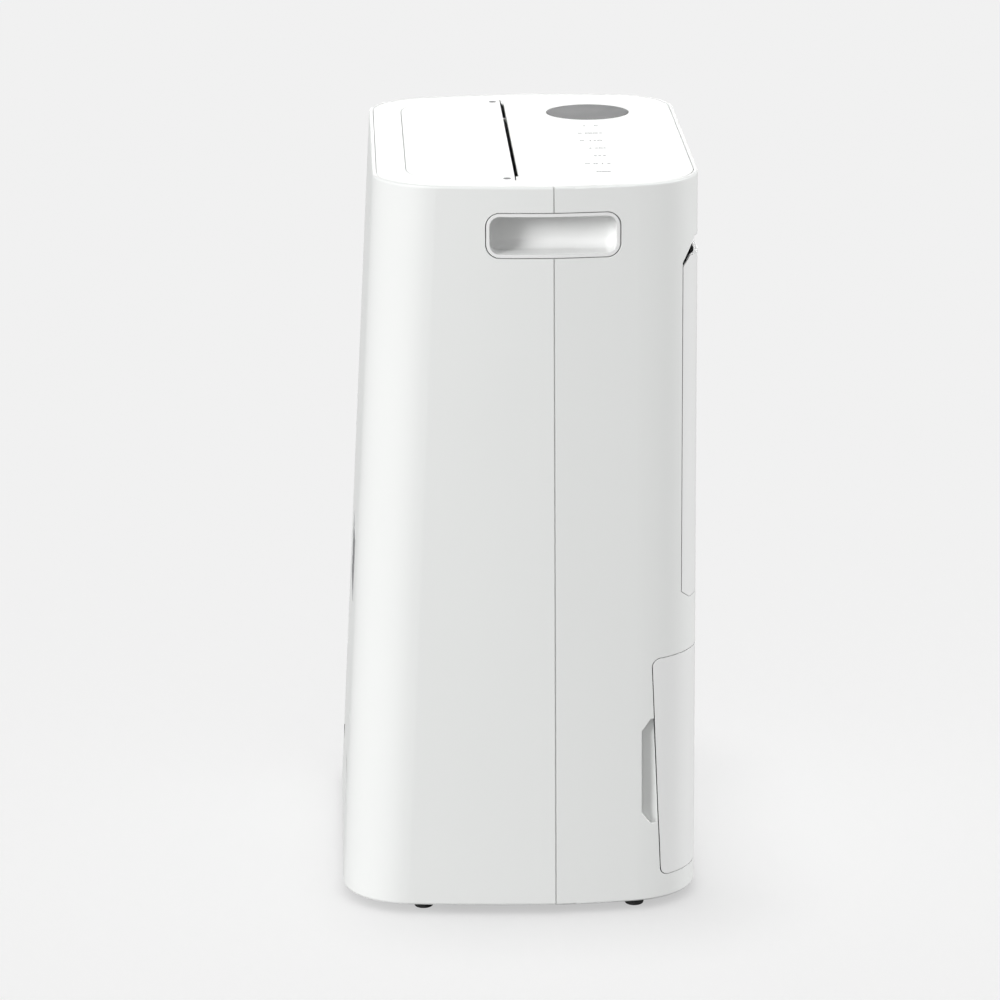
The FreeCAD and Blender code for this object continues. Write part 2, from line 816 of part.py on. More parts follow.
def top_cover():
    # the cover's front corners are rounder than the shell's, which leaves a crescent of shadow
    blank = whole_form("cover_blank", COVER_LOW, "cover_top", "wall + clearance", "cover_corner")
    opening = flap_outline("flap_opening", f"{COVER_LOW} - 20", "cover_top + 1",
                           "flap_half + fine_gap", "flap_front - gap - 0.15",
                           "flap_rear + fine_gap", "flap_round + fine_gap")
    slot = block("air_slot", ("0 - slot_half", "slot_half"),
                 ("flap_front - slot_wide", "flap_front + 1"), (f"{COVER_LOW} - 1", "cover_top + 1"))
    # the underside of the front edge is bevelled so that the flap's edge can swing past it
    bevel_corners = [
        ("flap_front - gap - 0.15", "cover_top"),
        ("flap_front - gap - 2.35", f"{COVER_LOW} - 0.1"),
        ("flap_front + 4", f"{COVER_LOW} - 0.1"),
        ("flap_front + 4", "cover_top"),
    ]
    bevel = prism("slot_bevel", "YZ", bevel_corners, "0 - flap_half - gap", "flap_half + gap")
    recess = rod("lens_recess", "z", "lens_radius + clearance",
                 ("lens_x", "lens_y", "cover_top - lens_deep"), "5")
    window = rod("lens_window", "z", "lens_radius - lens_ledge",
                 ("lens_x", "lens_y", "cover_top - 10"), "20")
    bosses = []
    bores = []
    for side, sign in (("left", 1), ("right", -1)):
        near = "flap_half + gap" if sign > 0 else "0 - flap_half - gap - boss_wide"
        far = "flap_half + gap + boss_wide" if sign > 0 else "0 - flap_half - gap"
        bosses.append(block(f"hinge_boss_{side}", (near, far),
                            ("hinge_y - hinge_boss_half", "hinge_y + hinge_boss_half"),
                            ("hinge_z - 3.2", f"{COVER_LOW} + 1")))
        start = "flap_half" if sign > 0 else "0 - flap_half - 12"
        bores.append(rod(f"hinge_bore_{side}", "x", "pin_radius + running",
                         (start, "hinge_y", "hinge_z"), "12"))
    cover = cut("top_cover_solid", join("cover_and_bosses", blank, *bosses),
                opening, slot, bevel, recess, window, *bores)
    keep(cover, "top_cover")


def display_lens():
    disc = rod("lens_disc", "z", "lens_radius", ("lens_x", "lens_y", "cover_top - lens_deep"),
               "lens_deep + 0.1")

    def upper_edge(edge):
        return abs(edge.BoundBox.ZMin - value("cover_top + 0.1")) < 0.01

    keep(rounded("lens_solid", disc, "lens_edge", upper_edge), "display_lens")


def control_board():
    """The printed board under the top: seven touch springs beside a display module."""
    board_top = "board_low + board_thick"
    board = block("board_plate", ("0 - board_half", "board_half"),
                  ("key_y - board_deep", "key_y + board_deep"), ("board_low", board_top))
    springs = [board]
    for number in range(7):
        x = f"key_first_x - {number} * key_pitch"
        springs.append(rod(f"touch_spring_{number}", "z", "spring_radius", (x, "key_y", board_top),
                           "spring_high"))
        springs.append(rod(f"touch_foot_{number}", "z", "spring_radius + 1.5", (x, "key_y", board_top),
                           "1.2"))
    keep(join("control_board_solid", *springs), "control_board")
    half_x = "module_half_x"
    half_y = "module_half_y"
    frame = block("module_frame", (f"lens_x - {half_x}", f"lens_x + {half_x}"),
                  (f"lens_y - {half_y}", f"lens_y + {half_y}"), (board_top, "module_top"))
    face = block("module_face", (f"lens_x - {half_x} + module_rim", f"lens_x + {half_x} - module_rim"),
                 (f"lens_y - {half_y} + module_rim", f"lens_y + {half_y} - module_rim"),
                 ("module_top - 1", "module_top + 1"))
    keep(cut("module_solid", frame, face), "display_module")


def louver_flap():
    plate = flap_outline("flap_plate", COVER_LOW, "cover_top", "flap_half", "flap_front",
                         "flap_rear", "flap_round")
    knuckles = []
    bores = []
    for side, sign in (("left", 1), ("right", -1)):
        near = "flap_half - 0.5 - knuckle_wide" if sign > 0 else "0 - flap_half + 0.5"
        far = "flap_half - 0.5" if sign > 0 else "0 - flap_half + 0.5 + knuckle_wide"
        knuckles.append(block(f"knuckle_{side}", (near, far),
                              ("hinge_y - knuckle_half", "hinge_y + knuckle_half"),
                              ("hinge_z - knuckle_half", f"{COVER_LOW} + 1")))
        bores.append(rod(f"knuckle_bore_{side}", "x", "pin_radius",
                         (near, "hinge_y", "hinge_z"), f"({far}) - ({near})"))
    rib_front = "hinge_y + 14"
    rib_rear = "flap_rear - 10.4"
    ribs = [
        block("flap_rib_front", ("0 - 116", "116"), (rib_front, f"{rib_front} + rib_thick"),
              (f"{COVER_LOW} - rib_high", f"{COVER_LOW} + 1")),
        block("flap_rib_rear", ("0 - 104", "104"), (f"{rib_rear} - rib_thick", rib_rear),
              (f"{COVER_LOW} - rib_high", f"{COVER_LOW} + 1")),
    ]
    for number in range(7):
        x = f"({number} - 3) * 33"
        ribs.append(block(f"flap_cross_rib_{number}", (f"{x} - rib_thick / 2", f"{x} + rib_thick / 2"),
                          (rib_front, rib_rear),
                          (f"{COVER_LOW} - rib_high + rib_thick", f"{COVER_LOW} + 1")))
    flap = cut("flap_solid", join("flap_and_ribs", plate, *knuckles, *ribs), *bores)
    keep(flap, "louver_flap")
    pins = []
    for side, start, length in (("left", "flap_half - 8", "21"), ("right", "0 - flap_half - 6", "13")):
        pins.append(rod(f"hinge_pin_{side}", "x", "pin_radius", (start, "hinge_y", "hinge_z"), length))
    keep(join("hinge_pins_solid", *pins), "hinge_pins")


def louver_motor():
    """A small geared motor outside the left hinge boss, with the flap's long pin in its output."""
    face = "flap_half + gap + boss_wide"
    case = rod("motor_case", "x", "motor_radius", (face, "hinge_y", "hinge_z - motor_drop"), "motor_long")
    bore = rod("motor_bore", "x", "pin_radius + running", (f"{face} - 1", "hinge_y", "hinge_z"),
               "motor_long - 1")
    keep(cut("louver_motor_solid", case, bore), "louver_motor")


def grille(name, plane, across, upward, low, high, windows, first, pitch, count, backwards):
    """A plate with rows of equal windows, repeated along the sketch's horizontal axis."""
    body = doc.addObject("PartDesign::Body", name)
    lift = f"0 - ({high})" if plane == "XZ" else low
    thick = f"({high}) - ({low})"
    outline = new_sketch(body, name + "_outline", plane, lift)
    polygon(outline, [(across[0], upward[0]), (across[1], upward[0]),
                      (across[1], upward[1]), (across[0], upward[1])])
    pad(body, name + "_plate", outline, thick)
    openings = new_sketch(body, name + "_windows", plane, lift)
    for bottom, top in windows:
        polygon(openings, [(first[0], bottom), (first[1], bottom), (first[1], top), (first[0], top)])
    cut_row = pocket(body, name + "_cut", openings, thick, backwards)
    pattern = body.newObject("PartDesign::LinearPattern", name + "_row")
    pattern.Originals = [cut_row]
    pattern.Direction = (openings, ["H_Axis"])
    bind(pattern, "Length", f"({pitch}) * {count - 1}")
    pattern.Occurrences = count
    body.Tip = pattern
    return body


def outlet():
    middle = "(outlet_front + outlet_rear) / 2"
    windows = [("outlet_front + outlet_bar", f"{middle} - 1.4"),
               (f"{middle} + 1", "outlet_rear - outlet_bar")]
    bars = grille("outlet_bars", "XY", ("0 - duct_half + 2.6", "duct_half - 2.6"),
                  ("outlet_front", "outlet_rear"), "outlet_low", "outlet_low + outlet_thick", windows,
                  ("0 - 112.6", "0 - 105"), "10", 22, True)
    keep(bars, "outlet_grille")
    outside = block("duct_outside", ("0 - duct_half", "duct_half"), ("duct_front", "duct_rear"),
                    ("duct_low", "duct_low + duct_high"))
    inside = block("duct_inside", ("duct_wall - duct_half", "duct_half - duct_wall"),
                   ("duct_front + duct_wall", "duct_rear - duct_wall"),
                   ("duct_low + duct_wall", "duct_low + duct_high + 1"))
    mouth = block("duct_mouth", ("16", "102"), ("duct_front + duct_wall", "scroll_rear - 3"),
                  ("duct_low - 12", "duct_low + 8"))
    keep(cut("outlet_duct_solid", outside, inside, mouth), "outlet_duct")


# ---------------------------------------------------------------------------
# The hand recesses
# ---------------------------------------------------------------------------

def handle_cups():
    """Scooped cups set into both sides across the seam, flush with the cabinet."""
    whole = whole_form("cup_limit", "grip_low - 20", "grip_high + 10", "cup_sunk")
    for side, sign in (("left", 1), ("right", -1)):
        inner = "half_width - grip_deep - cup_wall" if sign > 0 else "0 - half_width - 5"
        outer = "half_width + 5" if sign > 0 else "cup_wall + grip_deep - half_width"
        body = common(f"cup_block_{side}", hand_opening(f"cup_{side}_outline", "0", inner, outer), whole)
        inner = "half_width - grip_deep" if sign > 0 else "0 - half_width - 9"
        outer = "half_width + 9" if sign > 0 else "grip_deep - half_width"
        hollow = hand_opening(f"cup_{side}_hollow", "0 - cup_rim", inner, outer)

        def inner_edge(edge, sign=sign):
            middle = edge.BoundBox
            floor = value("half_width - grip_deep")
            return abs(middle.XMin - sign * floor) < 0.01 and abs(middle.XMax - sign * floor) < 0.01

        scoop = rounded(f"cup_{side}_scoop", hollow, "cup_scoop", inner_edge)
        keep(cut(f"handle_cup_{side}_solid", body, scoop), f"handle_cup_{side}")


# ---------------------------------------------------------------------------
# The intake: panel, filter and grille
# ---------------------------------------------------------------------------

def intake_parts():
    panel = common("panel_skin", front_skin, panel_region("panel_limit"))
    clips = []
    for side, x in (("left", "clip_x"), ("right", "0 - clip_x - clip_size")):
        for level, z in (("low", "intake_low + 22"), ("high", "panel_high - 30")):
            clips.append(block(f"panel_clip_{side}_{level}", (x, f"{x} + clip_size"),
                               ("front_y + wall - 0.5", "front_y + wall + 1"),
                               (z, f"{z} + clip_size")))
    keep(join("filter_cover_solid", panel, *clips), "filter_cover")
    frame_low = "intake_low + filter_margin"
    frame_high = "panel_high - filter_margin"
    frame_back = "front_y + wall + 1 + filter_thick"
    windows = [(f"{frame_low} + filter_bar", "intake_low + 120"),
               ("intake_low + 124", f"{frame_high} - filter_bar")]
    frame = grille("filter_frame_bars", "XZ", ("0 - filter_half", "filter_half"),
                   (frame_low, frame_high), "front_y + wall + 1", frame_back, windows,
                   ("4 - filter_half", "0 - filter_half / 2 + 0.5"), "54.5", 4, True)
    keep(frame, "filter_frame")
    mesh = block("mesh_sheet", ("1 - filter_half", "filter_half - 1"),
                 (frame_back, f"{frame_back} + mesh_thick"), (f"{frame_low} + 1", f"{frame_high} - 1"))
    keep(mesh, "filter_mesh")
    bars = grille("intake_bars", "XZ", ("0 - grille_half", "grille_half"),
                  ("intake_low + 1", "intake_high - 0.5"),
                  "intake_edge + 0.6 - grille_thick", "intake_edge + 0.6",
                  [("intake_low + 8", "intake_low + 82"), ("intake_low + 86", "intake_low + 160"),
                   ("intake_low + 164", "intake_high - 6")],
                  ("0 - 128", "0 - 119"), "12.4", 20, True)
    keep(bars, "intake_grille")


# ---------------------------------------------------------------------------
# The water tank
# ---------------------------------------------------------------------------

TANK_FRONT = "(front_y + wall)"
DRIP_Y = "(condenser_y - drip_back)"
PIVOT_Y = "(tank_rear - pivot_back)"
PIVOT_Z = "(tank_rim - pivot_drop)"


def box_rounded(name, x, y, z, size, low_edges):
    """A box with rounded upright edges, and rounded bottom edges if wanted."""
    plain = block(name + "_block", x, y, z)
    floor = value(z[0])

    def wanted(edge):
        box = edge.BoundBox
        at_floor = abs(box.ZMax - floor) < 0.01
        return along("z")(edge) or (low_edges and at_floor)

    return rounded(name, plain, size, wanted)


def tank():
    outer = box_rounded("bucket_outer", ("0 - tank_half", "tank_half"), (TANK_FRONT, "tank_rear"),
                        ("tank_floor", "tank_rim"), "bucket_round", True)
    inner = box_rounded("bucket_inner", ("tank_wall - tank_half", "tank_half - tank_wall"),
                        (f"{TANK_FRONT} + tank_wall", "tank_rear - tank_wall"),
                        ("tank_floor + tank_wall", "tank_rim + 40"), "bucket_round - tank_wall", True)
    keep(cut("tank_bucket_solid", outer, inner), "tank_bucket")

    skin = common("tank_front_skin", front_skin, bay_region("tank_front_limit", "gap"))
    keep(skin, "tank_front")

    lid = box_rounded("lid_plate", ("0 - tank_half", "tank_half"), (TANK_FRONT, "tank_rear"),
                      ("tank_rim", "tank_rim + lid_thick"), "bucket_round", False)
    drip = rod("lid_drip_hole", "z", "lid_drip", ("0", DRIP_Y, "tank_rim - 1"), "8")
    pour = block("lid_pour", ("tank_half - 42", "tank_half - 8"), ("tank_rear - 34", "tank_rear - 6"),
                 ("tank_rim - 1", "tank_rim + 8"))
    lugs = []
    for number, x in enumerate(("0 - 76", "0 - 48")):
        lugs.append(block(f"lid_lug_{number}", (x, f"{x} + 4"),
                          (f"{PIVOT_Y} - lug_half", f"{PIVOT_Y} + lug_half"),
                          (f"{PIVOT_Z} - lug_half", "tank_rim + 1")))
    bore = rod("lid_lug_bore", "x", "pivot_radius + running", ("0 - 80", PIVOT_Y, PIVOT_Z), "40")
    keep(cut("tank_lid_solid", join("lid_and_lugs", lid, *lugs), drip, pour, bore), "tank_lid")

    pin = rod("float_pin", "x", "pivot_radius", ("0 - 75.5", PIVOT_Y, PIVOT_Z), "31")
    arm = block("float_arm", ("0 - 68", "0 - 52"), (f"{PIVOT_Y} - arm_long", f"{PIVOT_Y} + pivot_radius"),
                (f"{PIVOT_Z} - 2.4", f"{PIVOT_Z} + 1"))
    foam_top = f"{PIVOT_Z} - 8"
    foam = box_rounded("float_foam", ("0 - 78", "0 - 42"),
                       (f"{PIVOT_Y} - 14 - foam_long", f"{PIVOT_Y} - 14"),
                       (f"{foam_top} - foam_high", foam_top), "4", False)
    stem = block("float_stem", ("0 - 65", "0 - 55"),
                 (f"{PIVOT_Y} - arm_long", f"{PIVOT_Y} - arm_long + 8"), (f"{foam_top} - 1", PIVOT_Z))
    keep(join("tank_float_solid", pin, arm, foam, stem), "tank_float")

    foot = block("sensor_foot", ("0 - 76", "0 - 44"), ("tank_rear + 6.6", "tank_rear + 8.6"),
                 (f"{PIVOT_Z} - 34", f"{PIVOT_Z} - 6"))
    case = block("sensor_case", ("0 - 68", "0 - 52"), ("tank_rear + 3", "tank_rear + 7"),
                 (f"{PIVOT_Z} - 30", f"{PIVOT_Z} - 10"))
    keep(join("tank_sensor_solid", foot, case), "tank_sensor")


# ---------------------------------------------------------------------------
# The deck over the tank bay, the drip tray and the drain
# ---------------------------------------------------------------------------

DECK_LOW = "(bay_high + 2)"


def deck():
    """A deck over the tank bay, with the wall that closes the bay at the back."""
    limit = whole_form("deck_limit", "cabinet_low + 1", "cabinet_top - 1", "wall + clearance")
    deck_top = f"{DECK_LOW} + deck_thick"
    plate = block("deck_plate", ("0 - deck_half", "deck_half"),
                  ("front_y + wall + 1", "tank_rear + 10"), (DECK_LOW, deck_top))
    wall = block("bay_wall", ("0 - bay_wall_half", "bay_wall_half"),
                 ("tank_rear + 8.6", "tank_rear + 11"), ("pan_high + 4", deck_top))
    drip = rod("deck_drip_hole", "z", "spout_radius + 0.6", ("0", DRIP_Y, f"{DECK_LOW} - 1"), "6")
    front = common("deck_in_shell", plate, limit)
    keep(cut("mid_deck_solid", join("deck_and_wall", front, wall), drip), "mid_deck")


def drip_tray():
    low = f"{DECK_LOW} + deck_thick"
    outer = block("tray_outer", ("0 - tray_half", "tray_half"), ("evaporator_y - 17", "condenser_y + 16"),
                  (low, f"{low} + tray_high"))
    inner = block("tray_inner", ("tray_wall - tray_half", "tray_half - tray_wall"),
                  ("evaporator_y - 17 + tray_wall", "condenser_y + 16 - tray_wall"),
                  (f"{low} + tray_wall", f"{low} + tray_high + 4"))
    spout = rod("tray_spout", "z", "spout_radius", ("0", DRIP_Y, f"{DECK_LOW} - 9"), "14")
    spout_hole = rod("tray_spout_hole", "z", "spout_bore", ("0", DRIP_Y, f"{DECK_LOW} - 10"), "30")
    outlet_hole = rod("tray_outlet_hole", "y", "hose_bore", ("port_x", "condenser_y + 10", f"{low} + 9"),
                      "14")
    tray = cut("drip_tray_solid", join("tray_and_spout", outer, spout), inner, spout_hole, outlet_hole)
    keep(tray, "drip_tray")


def drain():
    """The hose from the drip tray to the rear spigot, and the spigot's rubber cap."""
    wall = rear_y("port_z")
    tray_z = f"{DECK_LOW} + 12"
    hose = pipe("drain_hose_tube", [
        ("port_x", "condenser_y + 16.2", tray_z),
        ("port_x", "tank_rear + 28", tray_z),
        ("port_x", "tank_rear + 28", "port_z"),
        ("port_x", f"{wall} - spigot_start", "port_z"),
    ], "hose_radius", "hose_bend", "hose_bore")
    keep(hose, "drain_hose")
    port = ("port_x", f"{wall} - spigot_start", "port_z")
    barrel = rod("spigot_barrel", "y", "spigot_radius", port, "21")
    flange = rod("spigot_flange", "y", "flange_radius",
                 ("port_x", f"{wall} - port_deep - 3", "port_z"), "3")
    bore = rod("spigot_bore", "y", "spigot_bore", ("port_x", f"{wall} - spigot_start - 1", "port_z"),
               "30")
    keep(cut("spigot_solid", join("spigot_blank", barrel, flange), bore), "drain_spigot")
    cap_at = ("port_x", f"{wall} - 13", "port_z")
    cap = rod("cap_body", "y", "cap_radius", cap_at, "cap_high")
    space = rod("cap_space", "y", "spigot_radius + clearance", ("port_x", f"{wall} - 14", "port_z"),
                "10.2")
    ribs = []
    for number in range(3):
        place_y = f"{wall} - 10 + {number} * 3"
        ribs.append(rod(f"cap_rib_{number}", "y", "cap_radius + 0.6", ("port_x", place_y, "port_z"),
                        "1.2"))
    keep(cut("drain_cap_solid", join("cap_and_ribs", cap, *ribs), space), "drain_cap")


# ---------------------------------------------------------------------------
# The two coils
# ---------------------------------------------------------------------------

def coil(name, middle_y, first_side):
    """A fin pack on a serpentine of tubes, with return bends at alternate ends.

    first_side is 1 where the lowest bend is on the +X side, so that both free ends are on -X.
    """
    first_z = "coil_low + coil_pitch / 2"
    body = doc.addObject("PartDesign::Body", f"{name}_fins_solid")
    collars = new_sketch(body, f"{name}_collars", "YZ", "0 - coil_half")
    for row in range(8):
        circle(collars, middle_y, f"{first_z} + {row} * coil_pitch", "coil_tube + 1.2")
    body.AllowCompound = True
    pad(body, f"{name}_collar_pad", collars, "2 * coil_half")
    plate = new_sketch(body, f"{name}_plate", "YZ", "0 - coil_half")
    low_y = f"{middle_y} - coil_deep / 2"
    high_y = f"{middle_y} + coil_deep / 2"
    top_z = "coil_low + coil_rows * coil_pitch"
    polygon(plate, [(low_y, "coil_low"), (high_y, "coil_low"), (high_y, top_z), (low_y, top_z)])
    fin = pad(body, f"{name}_fin", plate, "fin_thick")
    doc.recompute()
    row_of_fins = body.newObject("PartDesign::LinearPattern", f"{name}_fin_row")
    row_of_fins.Originals = [fin]
    row_of_fins.Direction = (plate, ["N_Axis"])
    bind(row_of_fins, "Length", "2 * coil_half - fin_thick")
    row_of_fins.Occurrences = int(value("2 * coil_half / fin_pitch")) + 1
    body.Tip = row_of_fins
    holes = new_sketch(body, f"{name}_holes", "YZ", "0 - coil_half - 1")
    for row in range(8):
        circle(holes, middle_y, f"{first_z} + {row} * coil_pitch", "coil_tube + 0.02")
    pocket(body, f"{name}_bores", holes, "2 * coil_half + 2", True)
    keep(body, f"{name}_fins")

    pieces = []
    reach = "coil_half + 4"
    for row in range(8):
        z = f"{first_z} + {row} * coil_pitch"
        pieces.append(rod(f"{name}_run_{row}", "x", "coil_tube", (f"0 - ({reach})", middle_y, z),
                          f"2 * ({reach})"))
    for row in range(7):
        bend = doc.addObject("Part::Torus", f"{name}_bend_{row}")
        bind(bend, "Radius1", "coil_pitch / 2")
        bind(bend, "Radius2", "coil_tube")
        bend.Angle3 = 180
        side = first_side if row % 2 == 0 else -first_side
        bend.Placement = FreeCAD.Placement(Vector(), bend_turn(side))
        bind(bend, "Placement.Base.x", f"{side} * ({reach})")
        bind(bend, "Placement.Base.y", middle_y)
        bind(bend, "Placement.Base.z", f"{first_z} + {row + 0.5} * coil_pitch")
        pieces.append(bend)
    keep(join(f"{name}_tubes_solid", *pieces), f"{name}_tubes")


def bend_turn(side):
    """Lay a half ring in the XZ plane with its open side towards the coil."""
    upright = FreeCAD.Rotation(Vector(1, 0, 0), 90)
    swing = FreeCAD.Rotation(Vector(0, 1, 0), 90 * side)
    return swing.multiply(upright)


# ---------------------------------------------------------------------------
# The fan
# ---------------------------------------------------------------------------

WHEEL_BLADES = 36


def fan_wheel():
    """A forward-curved drum wheel; its own Z axis is the spin axis, turned to face +Y."""
    body = doc.addObject("PartDesign::Body", "fan_wheel_solid")
    back = new_sketch(body, "wheel_back", "XY", "fan_deep - 2")
    circle(back, "0", "0", "fan_radius")
    pad(body, "wheel_back_plate", back, "2")
    hub = new_sketch(body, "wheel_hub", "XY", "fan_deep - 22")
    circle(hub, "0", "0", "hub_radius")
    pad(body, "wheel_hub_pad", hub, "21")
    blade = new_sketch(body, "wheel_blade", "XY", "1")
    polygon(blade, [("fan_radius - 14", "0 - 3.4"), ("fan_radius - 12.8", "0 - 4.2"),
                    ("fan_radius - 4", "0 - 1.2"), ("fan_radius - 0.6", "5"),
                    ("fan_radius - 1.8", "5.6"), ("fan_radius - 5.2", "0")])
    one_blade = pad(body, "wheel_blade_pad", blade, "fan_deep - 2")
    doc.recompute()
    blades = body.newObject("PartDesign::PolarPattern", "wheel_blades")
    blades.Originals = [one_blade]
    blades.Axis = (blade, ["N_Axis"])
    blades.Angle = 360
    blades.Occurrences = WHEEL_BLADES
    body.Tip = blades
    ring = new_sketch(body, "wheel_ring", "XY", "0")
    circle(ring, "0", "0", "fan_radius + 2")
    circle(ring, "0", "0", "fan_radius - 6")
    pad(body, "wheel_ring_pad", ring, "3")
    hole = new_sketch(body, "wheel_hole", "XY", "fan_deep + 1")
    circle(hole, "0", "0", "shaft_radius")
    pocket(body, "wheel_bore", hole, "30")
    place(body, ("0", "fan_front", "fan_z"), "y")
    keep(body, "fan_wheel")
    shaft = rod("fan_shaft_solid", "y", "shaft_radius", ("0", "fan_front + fan_deep - 20", "fan_z"), "36")
    keep(shaft, "fan_shaft")


def volute(name, low, high, grow):
    """The scroll's outline: quarter arcs that grow round the wheel, then a straight outlet."""
    body = doc.addObject("PartDesign::Body", name)
    sketch = new_sketch(body, name + "_outline", "XZ", f"0 - ({high})")
    base = value(f"scroll_round + ({grow})")
    step = value("scroll_growth")
    middle = value("fan_z")
    quarter = math.pi / 2
    centres = [(0, 0), (step, 0), (step, step)]
    edges = []
    radius = base
    for number, (x, z) in enumerate(centres):
        ring = Part.Circle(Vector(x, middle + z, 0), Vector(0, 0, 1), radius)
        start = quarter * (number + 1)
        edges.append(Part.ArcOfCircle(ring, start, start + quarter))
        radius += step
    right = edges[-1].EndPoint
    left = edges[0].StartPoint
    top = value("duct_low")
    tongue = Vector(left.x + 14 - value(grow), top, 0)
    corner = Vector(right.x, top, 0)
    edges.append(Part.LineSegment(right, corner))
    edges.append(Part.LineSegment(corner, tongue))
    edges.append(Part.LineSegment(tongue, left))
    count = len(edges)
    for edge in edges:
        sketch.addGeometry(edge)
    for number in range(count):
        sketch.addConstraint(Sketcher.Constraint("Coincident", number, 2, (number + 1) % count, 1))
    for number in range(count):
        sketch.addConstraint(Sketcher.Constraint("Block", number))
    pad(body, name + "_pad", sketch, f"({high}) - ({low})")
    return body


def scroll():
    outer = volute("scroll_outside", "scroll_front", "scroll_rear", "2.2")
    inner = volute("scroll_inside", "scroll_front - 5", "scroll_rear - 2.2", "0")
    mouth = block("scroll_mouth", ("14 + 2", "scroll_round + 2 * scroll_growth + 6"),
                  ("scroll_front + 4", "scroll_rear - 2.2"), ("duct_low - 12", "duct_low + 8"))
    shaft_hole = rod("scroll_shaft_hole", "y", "20", ("0", "scroll_rear - 10", "fan_z"), "20")
    keep(cut("scroll_solid", outer, inner, mouth, shaft_hole), "scroll_housing")
    plate = volute("inlet_plate", "scroll_front - 2.4", "scroll_front", "2.2")
    hole = rod("inlet_hole", "y", "fan_radius - 10", ("0", "scroll_front - 6", "fan_z"), "12")
    lip = rod("inlet_lip", "y", "fan_radius - 8", ("0", "scroll_front - 2.4", "fan_z"), "6")
    keep(cut("inlet_ring_solid", join("inlet_blank", plate, lip), hole), "fan_inlet_ring")


def fan_motor():
    front = "scroll_rear + 3"
    can = rod("motor_can", "y", "can_radius", ("0", front, "fan_z"), "can_long")

    def ends(edge):
        box = edge.BoundBox
        return box.YMax - box.YMin < 0.01

    case = rounded("motor_can_round", can, "4", ends)
    band = rod("motor_band", "y", "can_radius + 2", ("0", f"{front} + 12", "fan_z"), "6")
    nose = rod("motor_nose", "y", "12", ("0", f"{front} - 2.5", "fan_z"), "4")
    bore = rod("motor_shaft_bore", "y", "shaft_radius + running", ("0", f"{front} - 4", "fan_z"), "16")
    keep(cut("fan_motor_solid", join("motor_blank", case, band, nose), bore), "fan_motor")
    ring = rod("bracket_ring", "y", "bracket_radius", ("0", "scroll_rear", "fan_z"), "plate_thick")
    arms = []
    for number, angle in enumerate((45, 135, 225, 315)):
        arm = doc.addObject("Part::Box", f"bracket_arm_{number}")
        bind(arm, "Length", "70")
        bind(arm, "Width", "plate_thick")
        bind(arm, "Height", "12")
        turn = FreeCAD.Rotation(Vector(0, 1, 0), angle)
        offset = turn.multVec(Vector(20, 0, -6))
        arm.Placement = FreeCAD.Placement(Vector(), turn)
        bind(arm, "Placement.Base.x", f"0 + {offset.x:.4f}")
        bind(arm, "Placement.Base.y", "scroll_rear")
        bind(arm, "Placement.Base.z", f"fan_z + {offset.z:.4f}")
        arms.append(arm)
    space = rod("bracket_hole", "y", "13", ("0", "scroll_rear - 1", "fan_z"), "8")
    keep(cut("motor_bracket_solid", join("bracket_blank", ring, *arms), space), "motor_bracket")


# ---------------------------------------------------------------------------
# The compressor and its pipes
# ---------------------------------------------------------------------------

MOUNT_RADIUS = 58
MOUNT_SQUEEZE = 0.84


def mount_spot(number):
    """Where one of the three rubber mounts stands: a triangle drawn in from front to back."""
    angle = math.radians(90 + 120 * number)
    return (f"compressor_x + {MOUNT_RADIUS * math.cos(angle):.4f}",
            f"compressor_y + {MOUNT_RADIUS * MOUNT_SQUEEZE * math.sin(angle):.4f}")


def compressor():
    can = rod("compressor_can", "z", "compressor_radius",
              ("compressor_x", "compressor_y", "compressor_low"), "compressor_high - compressor_low")

    def ends(edge):
        box = edge.BoundBox
        return box.ZMax - box.ZMin < 0.01

    shell = rounded("compressor_dome", can, "dome_round", ends)
    weld = rod("compressor_weld", "z", "compressor_radius + 1.6",
               ("compressor_x", "compressor_y", "compressor_low + 116"), "5")
    keep(join("compressor_shell_solid", shell, weld), "compressor_shell")

    legs = []
    holes = []
    grommets = []
    for number in range(3):
        x, y = mount_spot(number)
        plate_low = "compressor_low - mount_drop"
        legs.append(rod(f"bracket_pad_{number}", "z", "15", (x, y, plate_low), "mount_thick"))
        holes.append(rod(f"bracket_eye_{number}", "z", "eye_radius", (x, y, f"{plate_low} - 1"), "6"))
        low = rod(f"grommet_low_{number}", "z", "grommet_radius", (x, y, "pan_low + 11"),
                  f"{plate_low} - pan_low - 11")
        neck = rod(f"grommet_neck_{number}", "z", "eye_radius - 0.1", (x, y, f"{plate_low} - 2"), "6")
        high = rod(f"grommet_high_{number}", "z", "grommet_radius - 1",
                   (x, y, f"{plate_low} + mount_thick"), "6")
        grommets.extend((low, neck, high))
    keep(join("grommets_solid", *grommets), "compressor_grommets")
    disc = rod("bracket_disc", "z", "50", ("compressor_x", "compressor_y", "compressor_low - mount_drop"),
               "mount_thick")
    seat = rod("bracket_seat", "z", "30", ("compressor_x", "compressor_y", "compressor_low - 6"), "6")
    bracket = cut("bracket_solid", join("bracket_plate", disc, seat, *legs), *holes)
    keep(bracket, "compressor_bracket")

    cover = block("terminal_box",
                  ("compressor_x + compressor_radius - 3", "compressor_x + compressor_radius + 14"),
                  ("compressor_y - 22", "compressor_y + 22"),
                  ("compressor_low + 40", "compressor_low + 92"))
    keep(cut("terminal_solid", cover, rod("terminal_space", "z", "compressor_radius + 0.2",
                                          ("compressor_x", "compressor_y", "compressor_low"), "150")),
         "terminal_cover")

    side_x = "(compressor_x - compressor_radius - 22)"
    vessel = rod("accumulator_can", "z", "vessel_radius",
                 (side_x, "compressor_y - 6", "compressor_low + 26"), "vessel_high")
    keep(rounded("accumulator_solid", vessel, "10", ends), "accumulator")


